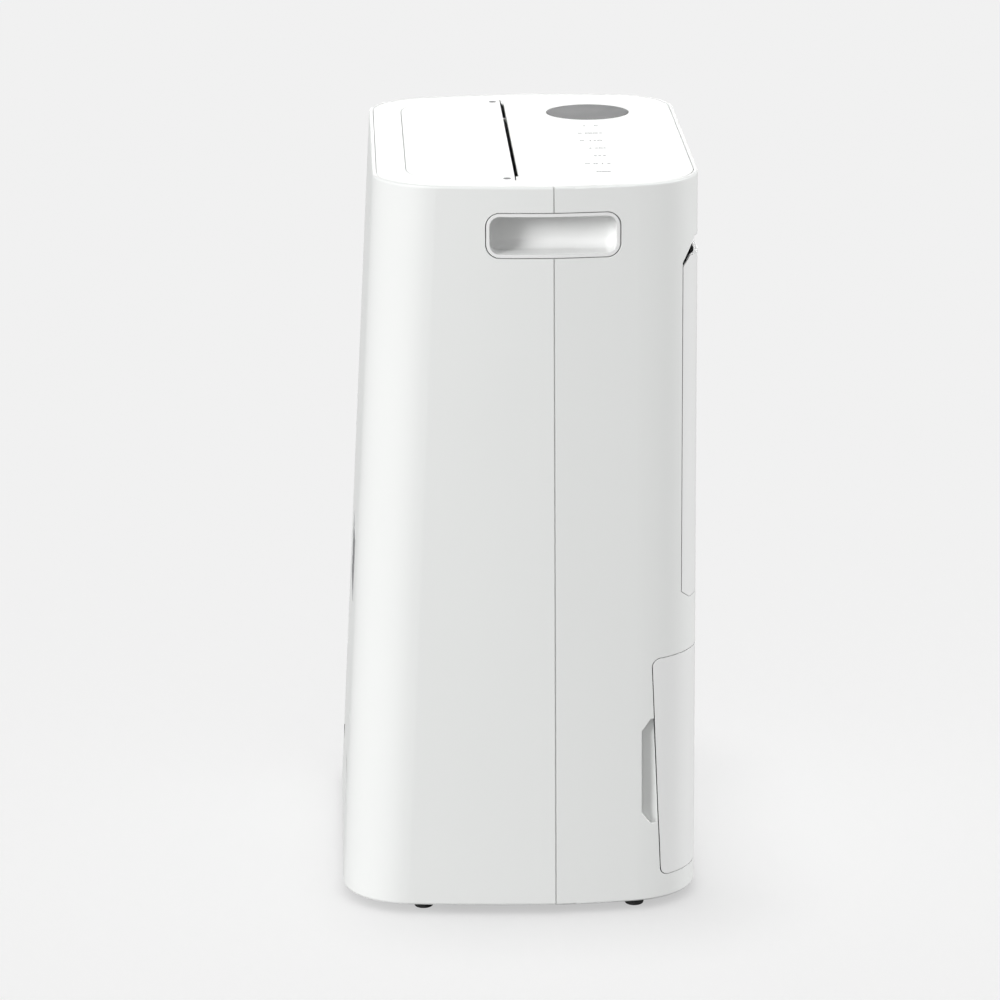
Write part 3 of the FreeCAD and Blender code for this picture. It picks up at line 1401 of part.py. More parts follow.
def refrigerant_pipes():
    """Copper lines between the coils, the compressor and the accumulator."""
    first_z = "coil_low + coil_pitch / 2"
    last_z = "coil_low + 7.5 * coil_pitch"
    side_x = "(compressor_x - compressor_radius - 22)"
    keep(pipe("suction_solid", [
        ("0 - coil_half - 4", "evaporator_y", first_z),
        ("0 - coil_half - 22", "evaporator_y", first_z),
        ("0 - coil_half - 22", "tank_rear + 22", first_z),
        (side_x, "tank_rear + 22", "compressor_high + 6"),
        (side_x, "compressor_y - 6", "compressor_high - 10"),
        (side_x, "compressor_y - 6", "compressor_low + 130"),
    ], "coil_tube", "pipe_bend"), "suction_pipe")
    riser_x = "(compressor_x + 72)"
    keep(pipe("discharge_solid", [
        ("compressor_x", "compressor_y", "compressor_high"),
        ("compressor_x", "compressor_y", "compressor_high + 12"),
        (riser_x, "compressor_y", "compressor_high + 12"),
        (riser_x, "condenser_y + 24", "compressor_high + 12"),
        (riser_x, "condenser_y + 24", last_z),
        (riser_x, "condenser_y", last_z),
        ("coil_half + 4", "condenser_y", last_z),
    ], "coil_tube - 1", "pipe_bend"), "discharge_pipe")
    dryer_x = "(coil_half + 34)"
    dryer = rod("dryer_can", "z", "dryer_radius", (dryer_x, "condenser_y", "coil_low + 40"), "dryer_high")

    def ends(edge):
        box = edge.BoundBox
        return box.ZMax - box.ZMin < 0.01

    inlet = pipe("dryer_inlet", [
        ("coil_half + 4", "condenser_y", first_z),
        (dryer_x, "condenser_y", first_z),
        (dryer_x, "condenser_y", "coil_low + 42"),
    ], "coil_tube - 1", "pipe_bend")
    keep(join("dryer_solid", rounded("dryer_shell", dryer, "5", ends), inlet), "filter_dryer")
    over_z = "coil_low + coil_rows * coil_pitch + 12"
    far_x = "0 - coil_half - 24"
    keep(pipe("capillary_solid", [
        (dryer_x, "condenser_y", "coil_low + 40 + dryer_high"),
        (dryer_x, "condenser_y", over_z),
        (far_x, "condenser_y", over_z),
        (far_x, "evaporator_y", over_z),
        (far_x, "evaporator_y", last_z),
        ("0 - coil_half - 4", "evaporator_y", last_z),
    ], "capillary_radius", "pipe_bend"), "capillary_pipe")


# ---------------------------------------------------------------------------
# The floor pan, feet and electrics
# ---------------------------------------------------------------------------

def base_pan():
    outer = whole_form("pan_outside", "pan_low", "pan_high", "wall + clearance")
    inner = whole_form("pan_inside", "pan_low + 3", "pan_high + 4", "wall + clearance + 2.4")
    posts = []
    for number in range(3):
        x, y = mount_spot(number)
        posts.append(rod(f"pan_post_{number}", "z", "12", (x, y, "pan_low + 1"), "10"))
    for number, x in enumerate(("0 - 104", "96")):
        posts.append(block(f"tank_rail_{number}", (x, f"{x} + 8"), ("front_y + 8", "tank_rear + 4"),
                           ("pan_low + 1", "tank_floor - clearance")))
    keep(join("base_pan_solid", cut("pan_tray", outer, inner), *posts), "base_pan")


def feet():
    for side, sign in (("left", ""), ("right", "0 - ")):
        for end in ("front", "rear"):
            x = f"{sign}foot_{end}_x"
            y = f"foot_{end}_y"
            foot = rod(f"foot_{end}_{side}_blank", "z", "foot_radius", (x, y, "0"), "pan_low")

            def low_edge(edge):
                return edge.BoundBox.ZMax < 0.01

            keep(rounded(f"foot_{end}_{side}_solid", foot, "1.4", low_edge), f"foot_{end}_{side}")


def electrics():
    low_x = "0 - case_low_x"
    high_x = "0 - case_high_x"
    outer = block("case_outer", (low_x, high_x), ("case_front", "case_rear"), ("pan_high", "case_top"))
    inner = block("case_inner", (f"{low_x} + case_wall", f"{high_x} - case_wall"),
                  ("case_front + case_wall", "case_rear + 6"),
                  ("pan_high + case_wall", "case_top - case_wall"))
    keep(cut("electronics_case_solid", outer, inner), "electronics_case")
    board_back = "case_front + 8"
    plate = block("main_board_plate", (f"{low_x} + 4", f"{high_x} - 4"),
                  (board_back, f"{board_back} + board_thick"), ("pan_high + 10", "case_top - 10"))
    chips = []
    for number, (x, z, wide, tall, deep) in enumerate((
            (-138, 40, 20, 26, 16), (-112, 44, 14, 14, 12), (-134, 90, 24, 18, 20),
            (-104, 84, 14, 30, 9), (-136, 128, 40, 10, 11))):
        chips.append(block(f"board_chip_{number}", (f"{x}", f"{x + wide}"),
                           (f"{board_back} + board_thick - 0.2", f"{board_back} + board_thick + {deep}"),
                           (f"{z}", f"{z + tall}")))
    keep(join("main_board_solid", plate, *chips), "main_board")
    can = rod("capacitor_can", "z", "capacitor_radius", ("0 - 98", "68", "40"), "capacitor_high")

    def ends(edge):
        box = edge.BoundBox
        return box.ZMax - box.ZMin < 0.01

    keep(rounded("capacitor_solid", can, "2", ends), "run_capacitor")
    sensor = block("sensor_chip", ("40", "58"), ("evaporator_y - 20", "evaporator_y - 15"),
                   ("436", "450"))
    keep(sensor, "humidity_sensor")


def gland():
    """The round gland that the mains lead leaves by, closed by a plain membrane."""
    wall = rear_y("gland_z")
    body = rod("gland_barrel", "y", "gland_radius", ("gland_x", f"{wall} - gland_long", "gland_z"),
               "gland_long")
    flange = rod("gland_flange", "y", "gland_flange", ("gland_x", f"{wall} - wall - 3", "gland_z"), "2")
    bore = rod("gland_bore", "y", "gland_bore", ("gland_x", f"{wall} - 20", "gland_z"), "30")
    keep(cut("gland_solid", join("gland_blank", body, flange), bore), "cord_gland")


def rating_plate():
    """A blank plate on the sloping back."""
    plate = doc.addObject("Part::Box", "rating_plate_solid")
    bind(plate, "Length", "plate_wide")
    bind(plate, "Width", "plate_skin")
    bind(plate, "Height", "plate_high")
    slope = value(REAR_SLOPE)
    plate.Placement = FreeCAD.Placement(
        Vector(), FreeCAD.Rotation(Vector(1, 0, 0), math.degrees(math.atan(slope))))
    bind(plate, "Placement.Base.x", "0 - plate_wide / 2")
    bind(plate, "Placement.Base.y", f"{rear_y('plate_low_z')} + 0.02")
    bind(plate, "Placement.Base.z", "plate_low_z")
    keep(plate, "rating_plate")


# ---------------------------------------------------------------------------
# Build, check and write
# ---------------------------------------------------------------------------

front_shell()
rear_shell()
drain_port()
rear_screws()
top_cover()
display_lens()
control_board()
louver_flap()
louver_motor()
outlet()
handle_cups()
intake_parts()
tank()
deck()
drip_tray()
drain()
coil("evaporator", "evaporator_y", 1)
coil("condenser", "condenser_y", -1)
fan_wheel()
scroll()
fan_motor()
compressor()
refrigerant_pipes()
base_pan()
feet()
electrics()
gland()
rating_plate()

doc.recompute()
for thing in doc.Objects:
    if "Invalid" in thing.State or "Error" in thing.State:
        raise RuntimeError(thing.Name + " did not compute")
for subpart in SUBPARTS:
    if subpart.Shape.isNull() or not subpart.Shape.isValid():
        raise RuntimeError(subpart.Label + " has no valid shape")

os.makedirs("parts", exist_ok=True)
for subpart in SUBPARTS:
    subpart.Shape.exportStep(os.path.join("parts", subpart.Label + ".step"))
print(len(SUBPARTS), "sub-parts written")
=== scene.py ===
import bpy
import bmesh
import json
import math
from mathutils import Matrix, Vector

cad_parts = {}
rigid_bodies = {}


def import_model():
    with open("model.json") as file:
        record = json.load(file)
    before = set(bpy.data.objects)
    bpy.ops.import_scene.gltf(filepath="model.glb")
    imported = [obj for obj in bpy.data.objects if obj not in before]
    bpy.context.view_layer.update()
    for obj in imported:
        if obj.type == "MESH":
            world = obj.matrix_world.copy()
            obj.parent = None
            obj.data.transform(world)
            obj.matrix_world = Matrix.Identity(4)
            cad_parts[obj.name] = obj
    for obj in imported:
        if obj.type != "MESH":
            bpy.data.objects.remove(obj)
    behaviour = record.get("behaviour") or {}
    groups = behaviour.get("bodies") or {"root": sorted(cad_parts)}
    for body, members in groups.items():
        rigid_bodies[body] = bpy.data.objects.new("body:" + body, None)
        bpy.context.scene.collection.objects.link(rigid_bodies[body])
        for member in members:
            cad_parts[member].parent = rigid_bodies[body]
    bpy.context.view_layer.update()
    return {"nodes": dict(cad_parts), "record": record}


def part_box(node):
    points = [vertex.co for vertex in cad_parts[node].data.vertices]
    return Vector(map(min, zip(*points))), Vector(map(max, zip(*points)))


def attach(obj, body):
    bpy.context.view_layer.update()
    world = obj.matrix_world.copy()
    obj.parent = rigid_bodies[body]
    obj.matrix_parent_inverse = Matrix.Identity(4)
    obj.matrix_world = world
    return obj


# A dehumidifier's looks: finishes for its moulded, metal and rubber parts, the printed keys on its
# top, small trim, and the studio around it. Lengths are metres in the CAD model's own frame.

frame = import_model()
nodes = frame["nodes"]
MM = 0.001


# ---------------------------------------------------------------------------
# Shared surface effects, as node groups
# ---------------------------------------------------------------------------

def new_group(name, inputs, outputs):
    """A shader node group with named sockets; returns the group and its two end nodes."""
    group = bpy.data.node_groups.new(name, "ShaderNodeTree")
    for label, kind, default in inputs:
        socket = group.interface.new_socket(label, in_out="INPUT", socket_type=kind)
        socket.default_value = default
    for label, kind in outputs:
        group.interface.new_socket(label, in_out="OUTPUT", socket_type=kind)
    start = group.nodes.new("NodeGroupInput")
    end = group.nodes.new("NodeGroupOutput")
    return group, start, end


def math_node(tree, operation, first, second=None, clamp=False):
    """One step of arithmetic; each value may be a number or a socket."""
    node = tree.nodes.new("ShaderNodeMath")
    node.operation = operation
    node.use_clamp = clamp
    for number, value in enumerate((first, second)):
        if value is None:
            continue
        if isinstance(value, (int, float)):
            node.inputs[number].default_value = value
        else:
            tree.links.new(value, node.inputs[number])
    return node.outputs[0]


def noise(tree, vector, scale, detail=2.0, roughness=0.5):
    """A noise value around 0.5; scale may be a number or a socket."""
    node = tree.nodes.new("ShaderNodeTexNoise")
    node.inputs["Detail"].default_value = detail
    node.inputs["Roughness"].default_value = roughness
    if isinstance(scale, (int, float)):
        node.inputs["Scale"].default_value = scale
    else:
        tree.links.new(scale, node.inputs["Scale"])
    tree.links.new(vector, node.inputs["Vector"])
    return node.outputs["Fac"]


def spread(tree, value, low_in, high_in, low_out, high_out):
    """Stretch a value from one range to another, and hold it at the ends."""
    node = tree.nodes.new("ShaderNodeMapRange")
    for label, number in (("From Min", low_in), ("From Max", high_in),
                          ("To Min", low_out), ("To Max", high_out)):
        node.inputs[label].default_value = number
    tree.links.new(value, node.inputs["Value"])
    return node.outputs["Result"]


def place_vector(tree):
    """Where a point is on the object at rest: the same grain on every piece, at real size."""
    return tree.nodes.new("ShaderNodeTexCoord").outputs["Object"]


def build_moulded_skin():
    """The fine spark-eroded grain of a moulding, with slow unevenness in gloss and tone."""
    group, start, end = new_group(
        "moulded_skin",
        [("Tone", "NodeSocketColor", (0.8, 0.8, 0.8, 1)),
         ("Tone Shift", "NodeSocketFloat", 0.02),
         ("Roughness", "NodeSocketFloat", 0.4),
         ("Roughness Shift", "NodeSocketFloat", 0.05),
         ("Grain Size", "NodeSocketFloat", 1600.0)],
        [("Color", "NodeSocketColor"), ("Roughness", "NodeSocketFloat"),
         ("Height", "NodeSocketFloat")])
    where = place_vector(group)
    slow = noise(group, where, 9.0, 3.0)
    patchy = noise(group, where, 60.0, 4.0, 0.6)
    fine = noise(group, where, start.outputs["Grain Size"], 2.0, 0.6)
    coarse = noise(group, where, 420.0, 2.0)

    amount = math_node(group, "MULTIPLY", start.outputs["Tone Shift"],
                       math_node(group, "SUBTRACT", slow, 0.5))
    mixed = group.nodes.new("ShaderNodeHueSaturation")
    group.links.new(start.outputs["Tone"], mixed.inputs["Color"])
    group.links.new(math_node(group, "ADD", amount, 1.0), mixed.inputs["Value"])
    group.links.new(mixed.outputs["Color"], end.inputs["Color"])

    gloss = math_node(group, "MULTIPLY", start.outputs["Roughness Shift"],
                      math_node(group, "SUBTRACT", patchy, 0.5))
    rough = math_node(group, "ADD", start.outputs["Roughness"],
                      math_node(group, "MULTIPLY", gloss, 2.0), clamp=True)
    group.links.new(rough, end.inputs["Roughness"])
    height = math_node(group, "ADD", fine, math_node(group, "MULTIPLY", coarse, 0.6))
    group.links.new(height, end.inputs["Height"])
    return group


def build_soft_edges():
    """Edges as if slightly rounded: their normal, and a broken mask along them, used for a painted
    highlight on the white mouldings and for rubbed or chipped wear on the dark parts.
    """
    group, start, end = new_group(
        "soft_edges",
        [("Radius", "NodeSocketFloat", 0.5 * MM), ("Wear", "NodeSocketFloat", 0.5),
         ("Breakup", "NodeSocketFloat", 180.0)],
        [("Normal", "NodeSocketVector"), ("Mask", "NodeSocketFloat")])
    eased = group.nodes.new("ShaderNodeBevel")
    eased.samples = 4
    group.links.new(start.outputs["Radius"], eased.inputs["Radius"])
    shape = group.nodes.new("ShaderNodeNewGeometry")
    turn = group.nodes.new("ShaderNodeVectorMath")
    turn.operation = "DOT_PRODUCT"
    group.links.new(eased.outputs["Normal"], turn.inputs[0])
    group.links.new(shape.outputs["Normal"], turn.inputs[1])
    edge = spread(group, turn.outputs["Value"], 0.985, 0.88, 0.0, 1.0)
    broken = spread(group, noise(group, place_vector(group), start.outputs["Breakup"], 4.0, 0.7),
                    0.40, 0.60, 0.15, 1.0)
    # the broken edge mask: painted highlight on the white plastics, real rubbing or chipping on the
    # dark parts and the enamel
    highlight_and_wear = math_node(group, "MULTIPLY", edge, broken)
    group.links.new(math_node(group, "MULTIPLY", highlight_and_wear, start.outputs["Wear"], clamp=True),
                    end.inputs["Mask"])
    group.links.new(eased.outputs["Normal"], end.inputs["Normal"])
    return group


def build_dust():
    """A thin settling of dust on what faces up, in soft patches."""
    group, start, end = new_group(
        "dust",
        [("Amount", "NodeSocketFloat", 0.3)],
        [("Mask", "NodeSocketFloat")])
    shape = group.nodes.new("ShaderNodeNewGeometry")
    split = group.nodes.new("ShaderNodeSeparateXYZ")
    group.links.new(shape.outputs["Normal"], split.inputs["Vector"])
    upward = spread(group, split.outputs["Z"], 0.3, 1.0, 0.0, 1.0)
    patch = spread(group, noise(group, place_vector(group), 90.0, 5.0, 0.65), 0.35, 0.75, 0.0, 1.0)
    lying = math_node(group, "MULTIPLY", upward, patch)
    group.links.new(math_node(group, "MULTIPLY", lying, start.outputs["Amount"], clamp=True),
                    end.inputs["Mask"])
    return group


def build_brushing():
    """Fine streaks along X, as drawn or brushed metal has."""
    group, start, end = new_group(
        "brushing",
        [("Fineness", "NodeSocketFloat", 900.0), ("Roughness", "NodeSocketFloat", 0.3),
         ("Roughness Shift", "NodeSocketFloat", 0.15)],
        [("Roughness", "NodeSocketFloat"), ("Height", "NodeSocketFloat")])
    stretch = group.nodes.new("ShaderNodeMapping")
    stretch.inputs["Scale"].default_value = (0.03, 1.0, 1.0)
    group.links.new(place_vector(group), stretch.inputs["Vector"])
    streak = noise(group, stretch.outputs["Vector"], start.outputs["Fineness"], 3.0, 0.6)
    shift = math_node(group, "MULTIPLY", math_node(group, "SUBTRACT", streak, 0.5),
                      start.outputs["Roughness Shift"])
    rough = math_node(group, "ADD", start.outputs["Roughness"],
                      math_node(group, "MULTIPLY", shift, 2.0), clamp=True)
    group.links.new(rough, end.inputs["Roughness"])
    group.links.new(streak, end.inputs["Height"])
    return group


MOULDED_SKIN = build_moulded_skin()
SOFT_EDGES = build_soft_edges()
DUST = build_dust()
BRUSHING = build_brushing()


# ---------------------------------------------------------------------------
# Finishes
# ---------------------------------------------------------------------------

PALE_DUST = (0.55, 0.54, 0.52, 1)
DARK_DUST = (0.35, 0.34, 0.32, 1)
CHIPPED_METAL = (0.25, 0.25, 0.26, 1)
THREAD_PITCH = 1.6 * MM


def new_finish(name):
    """An empty material: its tree and its Principled shader."""
    material = bpy.data.materials.new(name)
    material.use_nodes = True
    tree = material.node_tree
    shader = next(node for node in tree.nodes if node.type == "BSDF_PRINCIPLED")
    return material, tree, shader


def use_group(tree, group, **values):
    """Place a shared effect; spaces in its socket names are written as underscores."""
    node = tree.nodes.new("ShaderNodeGroup")
    node.node_tree = group
    for label, value in values.items():
        node.inputs[label.replace("_", " ")].default_value = value
    return node


def mix_colours(tree, mask, first, second):
    """The first colour where the mask is 0 and the second where it is 1."""
    mixer = tree.nodes.new("ShaderNodeMix")
    mixer.data_type = "RGBA"
    tree.links.new(mask, mixer.inputs["Factor"])
    for socket, value in ((mixer.inputs[6], first), (mixer.inputs[7], second)):
        if isinstance(value, tuple):
            socket.default_value = value
        else:
            tree.links.new(value, socket)
    return mixer.outputs[2]


def add_bump(tree, shader, height, strength, distance, base_normal=None):
    """Give the shader relief from a height, over an eased normal if there is one."""
    bump = tree.nodes.new("ShaderNodeBump")
    bump.inputs["Strength"].default_value = strength
    bump.inputs["Distance"].default_value = distance
    tree.links.new(height, bump.inputs["Height"])
    if base_normal is not None:
        tree.links.new(base_normal, bump.inputs["Normal"])
    tree.links.new(bump.outputs["Normal"], shader.inputs["Normal"])


def plastic(name, tone, rough, grain=1600.0, bump=0.12, tone_shift=0.02, edge_highlight_and_wear_tone=None, edge_highlight_and_wear=0.0,
            dust=0.0):
    """Moulded plastic: grain, uneven gloss, eased edges with a lighter tone along them, which is
    painted highlight on the white mouldings and rubbed wear on the dark ones, and a little dust.
    """
    material, tree, shader = new_finish(name)
    skin = use_group(tree, MOULDED_SKIN, Tone=(*tone, 1), Tone_Shift=tone_shift, Roughness=rough,
                     Roughness_Shift=0.05, Grain_Size=grain)
    edges = use_group(tree, SOFT_EDGES, Radius=0.4 * MM, Wear=edge_highlight_and_wear)
    # lighter edge tone: painted highlight on white plastic, rubbed wear on dark plastic
    colour = mix_colours(tree, edges.outputs["Mask"], skin.outputs["Color"],
                         (*(edge_highlight_and_wear_tone or tone), 1))
    if dust:
        settled = use_group(tree, DUST, Amount=dust)
        colour = mix_colours(tree, settled.outputs["Mask"], colour, PALE_DUST)
    tree.links.new(colour, shader.inputs["Base Color"])
    tree.links.new(skin.outputs["Roughness"], shader.inputs["Roughness"])
    shader.inputs["IOR"].default_value = 1.46
    add_bump(tree, shader, skin.outputs["Height"], bump, 0.06 * MM, edges.outputs["Normal"])
    return material


def metal(name, tone, rough, stain, stain_amount=0.25, fineness=900.0):
    """Drawn or plated metal: fine streaks and dull patches."""
    material, tree, shader = new_finish(name)
    brushed = use_group(tree, BRUSHING, Fineness=fineness, Roughness=rough, Roughness_Shift=0.12)
    patch = spread(tree, noise(tree, place_vector(tree), 55.0, 5.0, 0.65), 0.45, 0.75, 0.0,
                   stain_amount)
    tree.links.new(mix_colours(tree, patch, (*tone, 1), (*stain, 1)), shader.inputs["Base Color"])
    tree.links.new(brushed.outputs["Roughness"], shader.inputs["Roughness"])
    shader.inputs["Metallic"].default_value = 1.0
    add_bump(tree, shader, brushed.outputs["Height"], 0.1, 0.05 * MM)
    return material


def enamel(name, tone, rough):
    """Black stove enamel with a slight orange peel and chipped edges."""
    material, tree, shader = new_finish(name)
    skin = use_group(tree, MOULDED_SKIN, Tone=(*tone, 1), Tone_Shift=0.1, Roughness=rough,
                     Roughness_Shift=0.08, Grain_Size=300.0)
    edges = use_group(tree, SOFT_EDGES, Radius=0.6 * MM, Wear=0.5, Breakup=240.0)
    settled = use_group(tree, DUST, Amount=0.25)
    colour = mix_colours(tree, edges.outputs["Mask"], skin.outputs["Color"], CHIPPED_METAL)
    colour = mix_colours(tree, settled.outputs["Mask"], colour, DARK_DUST)
    tree.links.new(colour, shader.inputs["Base Color"])
    tree.links.new(skin.outputs["Roughness"], shader.inputs["Roughness"])
    shader.inputs["Coat Weight"].default_value = 0.3
    shader.inputs["Coat Roughness"].default_value = 0.15
    add_bump(tree, shader, skin.outputs["Height"], 0.25, 0.1 * MM, edges.outputs["Normal"])
    return material


def smoked_lens(name):
    """The display window: smoked plastic, even and dark, with little shine."""
    material, tree, shader = new_finish(name)
    skin = use_group(tree, MOULDED_SKIN, Tone=(0.006, 0.008, 0.009, 1), Tone_Shift=0.08,
                     Roughness=0.30, Roughness_Shift=0.05, Grain_Size=2600.0)
    tree.links.new(skin.outputs["Color"], shader.inputs["Base Color"])
    tree.links.new(skin.outputs["Roughness"], shader.inputs["Roughness"])
    shader.inputs["Specular IOR Level"].default_value = 0.02
    add_bump(tree, shader, skin.outputs["Height"], 0.02, 0.02 * MM)
    return material


def smoky_tank(name):
    """The tank's clear, slightly smoky plastic, frosted by its grain."""
    material, tree, shader = new_finish(name)
    skin = use_group(tree, MOULDED_SKIN, Tone=(0.70, 0.76, 0.80, 1), Tone_Shift=0.05,
                     Roughness=0.22, Roughness_Shift=0.08, Grain_Size=1200.0)
    tree.links.new(skin.outputs["Color"], shader.inputs["Base Color"])
    tree.links.new(skin.outputs["Roughness"], shader.inputs["Roughness"])
    shader.inputs["Transmission Weight"].default_value = 0.72
    shader.inputs["IOR"].default_value = 1.49
    add_bump(tree, shader, skin.outputs["Height"], 0.08, 0.05 * MM)
    return material


def rubber(name):
    """Matte black rubber with a bloom of dust."""
    material, tree, shader = new_finish(name)
    skin = use_group(tree, MOULDED_SKIN, Tone=(0.018, 0.018, 0.019, 1), Tone_Shift=0.2,
                     Roughness=0.72, Roughness_Shift=0.08, Grain_Size=900.0)
    bloom = spread(tree, noise(tree, place_vector(tree), 140.0, 5.0, 0.7), 0.4, 0.8, 0.0, 0.16)
    tree.links.new(mix_colours(tree, bloom, skin.outputs["Color"], (0.2, 0.2, 0.19, 1)),
                   shader.inputs["Base Color"])
    tree.links.new(skin.outputs["Roughness"], shader.inputs["Roughness"])
    add_bump(tree, shader, skin.outputs["Height"], 0.3, 0.08 * MM)
    return material


def circuit_board(name):
    """Green solder mask over a faint maze of traces."""
    material, tree, shader = new_finish(name)
    maze = tree.nodes.new("ShaderNodeTexBrick")
    maze.inputs["Scale"].default_value = 160.0
    maze.inputs["Mortar Size"].default_value = 0.03
    maze.inputs["Color1"].default_value = (0.010, 0.085, 0.035, 1)
    maze.inputs["Color2"].default_value = (0.014, 0.105, 0.045, 1)
    maze.inputs["Mortar"].default_value = (0.030, 0.20, 0.085, 1)
    tree.links.new(place_vector(tree), maze.inputs["Vector"])
    tree.links.new(maze.outputs["Color"], shader.inputs["Base Color"])
    gloss = spread(tree, noise(tree, place_vector(tree), 300.0, 3.0), 0.3, 0.7, 0.22, 0.38)
    tree.links.new(gloss, shader.inputs["Roughness"])
    add_bump(tree, shader, maze.outputs["Fac"], 0.2, 0.05 * MM)
    return material


def woven_mesh(name):
    """Nylon filter mesh: threads both ways, open between them."""
    material, tree, shader = new_finish(name)
    split = tree.nodes.new("ShaderNodeSeparateXYZ")
    tree.links.new(place_vector(tree), split.inputs["Vector"])
    threads = []
    for axis in ("X", "Z"):
        turns = math_node(tree, "MULTIPLY", split.outputs[axis], 2 * math.pi / THREAD_PITCH)
        wave = math_node(tree, "SINE", turns)
        threads.append(spread(tree, wave, 0.2, 0.6, 0.0, 1.0))
    thread = math_node(tree, "MAXIMUM", threads[0], threads[1], clamp=True)
    shade = spread(tree, noise(tree, place_vector(tree), 60.0, 3.0), 0.3, 0.7, 0.0, 1.0)
    tree.links.new(mix_colours(tree, shade, (0.10, 0.11, 0.11, 1), (0.16, 0.17, 0.17, 1)),
                   shader.inputs["Base Color"])
    tree.links.new(thread, shader.inputs["Alpha"])
    shader.inputs["Roughness"].default_value = 0.6
    add_bump(tree, shader, thread, 0.5, 0.2 * MM)
    return material


WHITE = (0.80, 0.81, 0.80)
PANEL_WHITE = (0.82, 0.825, 0.82)
FINISHES = {
    # the white shell and panel get a lighter edge tone as painted highlight; the dark chassis and fan
    # get it as rubbed wear
    "shell_white": plastic("white_shell_plastic", WHITE, 0.44, edge_highlight_and_wear=0.25, edge_highlight_and_wear_tone=(0.86, 0.86, 0.85)),
    "panel_white": plastic("white_panel_plastic", PANEL_WHITE, 0.38, grain=2000.0, edge_highlight_and_wear=0.2,
                           edge_highlight_and_wear_tone=(0.87, 0.87, 0.86)),
    "lens_black": smoked_lens("smoked_display_lens"),
    "tank_clear": smoky_tank("smoky_tank_plastic"),
    "foam_white": plastic("float_foam", (0.74, 0.74, 0.70), 0.85, grain=700.0, bump=0.5),
    "chassis_grey": plastic("grey_chassis_plastic", (0.105, 0.11, 0.115), 0.55, bump=0.2,
                            tone_shift=0.1, edge_highlight_and_wear=0.3, edge_highlight_and_wear_tone=(0.2, 0.2, 0.2), dust=0.12),
    "fan_black": plastic("black_fan_plastic", (0.018, 0.018, 0.02), 0.5, bump=0.2, tone_shift=0.15,
                         edge_highlight_and_wear=0.3, edge_highlight_and_wear_tone=(0.08, 0.08, 0.08), dust=0.1),
    "mesh_grey": woven_mesh("nylon_filter_mesh"),
    "fin_aluminium": metal("fin_aluminium", (0.78, 0.79, 0.80), 0.34, stain=(0.5, 0.52, 0.53)),
    "copper": metal("drawn_copper", (0.80, 0.42, 0.27), 0.30, stain=(0.32, 0.17, 0.10),
                    stain_amount=0.5),
    "compressor_black": enamel("black_stove_enamel", (0.012, 0.012, 0.013), 0.32),
    "steel": metal("zinc_plated_steel", (0.60, 0.61, 0.62), 0.34, stain=(0.42, 0.41, 0.38)),
    "rubber_black": rubber("black_rubber"),
    "board_green": circuit_board("green_circuit_board"),
    "display_grey": plastic("display_module_plastic", (0.05, 0.052, 0.055), 0.35, bump=0.1),
    "plate_silver": metal("satin_silver_foil", (0.72, 0.73, 0.74), 0.40, stain=(0.6, 0.6, 0.6),
                          stain_amount=0.15, fineness=1400.0),
}


# ---------------------------------------------------------------------------
# The CAD parts take their finishes
# ---------------------------------------------------------------------------

def smooth_shading(piece, angle):
    """Smooth curved faces and keep edges over an angle crisp."""
    piece.data.shade_smooth()
    piece.data.set_sharp_from_angle(angle=math.radians(angle))


def dress_cad_parts():
    """Give each CAD part the finish that its record's slot names."""
    slots = {entry["node"]: entry["material_slot"] for entry in frame["record"]["subparts"]}
    for name, piece in nodes.items():
        finish = FINISHES[slots[name]]
        piece.data.materials.clear()
        piece.data.materials.append(finish)
        smooth_shading(piece, 24)


# ---------------------------------------------------------------------------
# Printed marks and small trim
# ---------------------------------------------------------------------------

COVER_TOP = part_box("top_cover")[1].z
INK_LIFT = 0.04 * MM
RING_LINE = 0.6 * MM
KEY_X = 41.2 * MM
KEY_PITCH = 26.5 * MM
PLUG_X = 136.0 * MM
PLUG_RADIUS = 2.5 * MM
PLATE_SKIN = 0.2 * MM
PRINT_LINES = 6
LONG_LINE = 60 * MM
SHORT_LINE = 40 * MM
LINE_HIGH = 1.4 * MM
LINE_THICK = 0.12 * MM


def new_piece(name, shape, material, body):
    """Turn a worked-up shape into an object that rides a CAD body."""
    bmesh.ops.recalc_face_normals(shape, faces=shape.faces)
    mesh = bpy.data.meshes.new(name)
    shape.to_mesh(mesh)
    shape.free()
    mesh.materials.append(material)
    piece = bpy.data.objects.new(name, mesh)
    bpy.context.scene.collection.objects.link(piece)
    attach(piece, body)
    smooth_shading(piece, 30)


def add_bar(shape, x, y, along_x, along_y, low, thick):
    """A flat printed bar, or a thin plate, centred on a point."""
    spot = Matrix.Translation((x, y, low + thick / 2))
    spot = spot @ Matrix.Diagonal((along_x, along_y, thick, 1.0))
    bmesh.ops.create_cube(shape, size=1.0, matrix=spot)


def add_disc(shape, x, y, radius, low, thick, sides=24):
    """A flat round plate, centred on a point."""
    spot = Matrix.Translation((x, y, low + thick / 2))
    bmesh.ops.create_cone(shape, cap_ends=True, segments=sides, radius1=radius, radius2=radius,
                          depth=thick, matrix=spot)


def add_ring(shape, x, y, profile, sides=96):
    """A turned ring: a closed profile of (radius, height) pairs swept round a vertical axis."""
    rows = []
    for number in range(sides):
        angle = 2 * math.pi * number / sides
        rows.append([shape.verts.new((x + radius * math.cos(angle), y + radius * math.sin(angle), z))
                     for radius, z in profile])
    for number, row in enumerate(rows):
        following = rows[(number + 1) % sides]
        for step in range(len(profile)):
            other = (step + 1) % len(profile)
            shape.faces.new((row[step], following[step], following[other], row[other]))


def add_print_ring(shape, x, y, radius):
    """A printed circle, given by its inner radius."""
    low = COVER_TOP - INK_LIFT
    high = COVER_TOP + INK_LIFT
    outer = radius + RING_LINE
    add_ring(shape, x, y, [(radius, low), (outer, low), (outer, high), (radius, high)], sides=28)


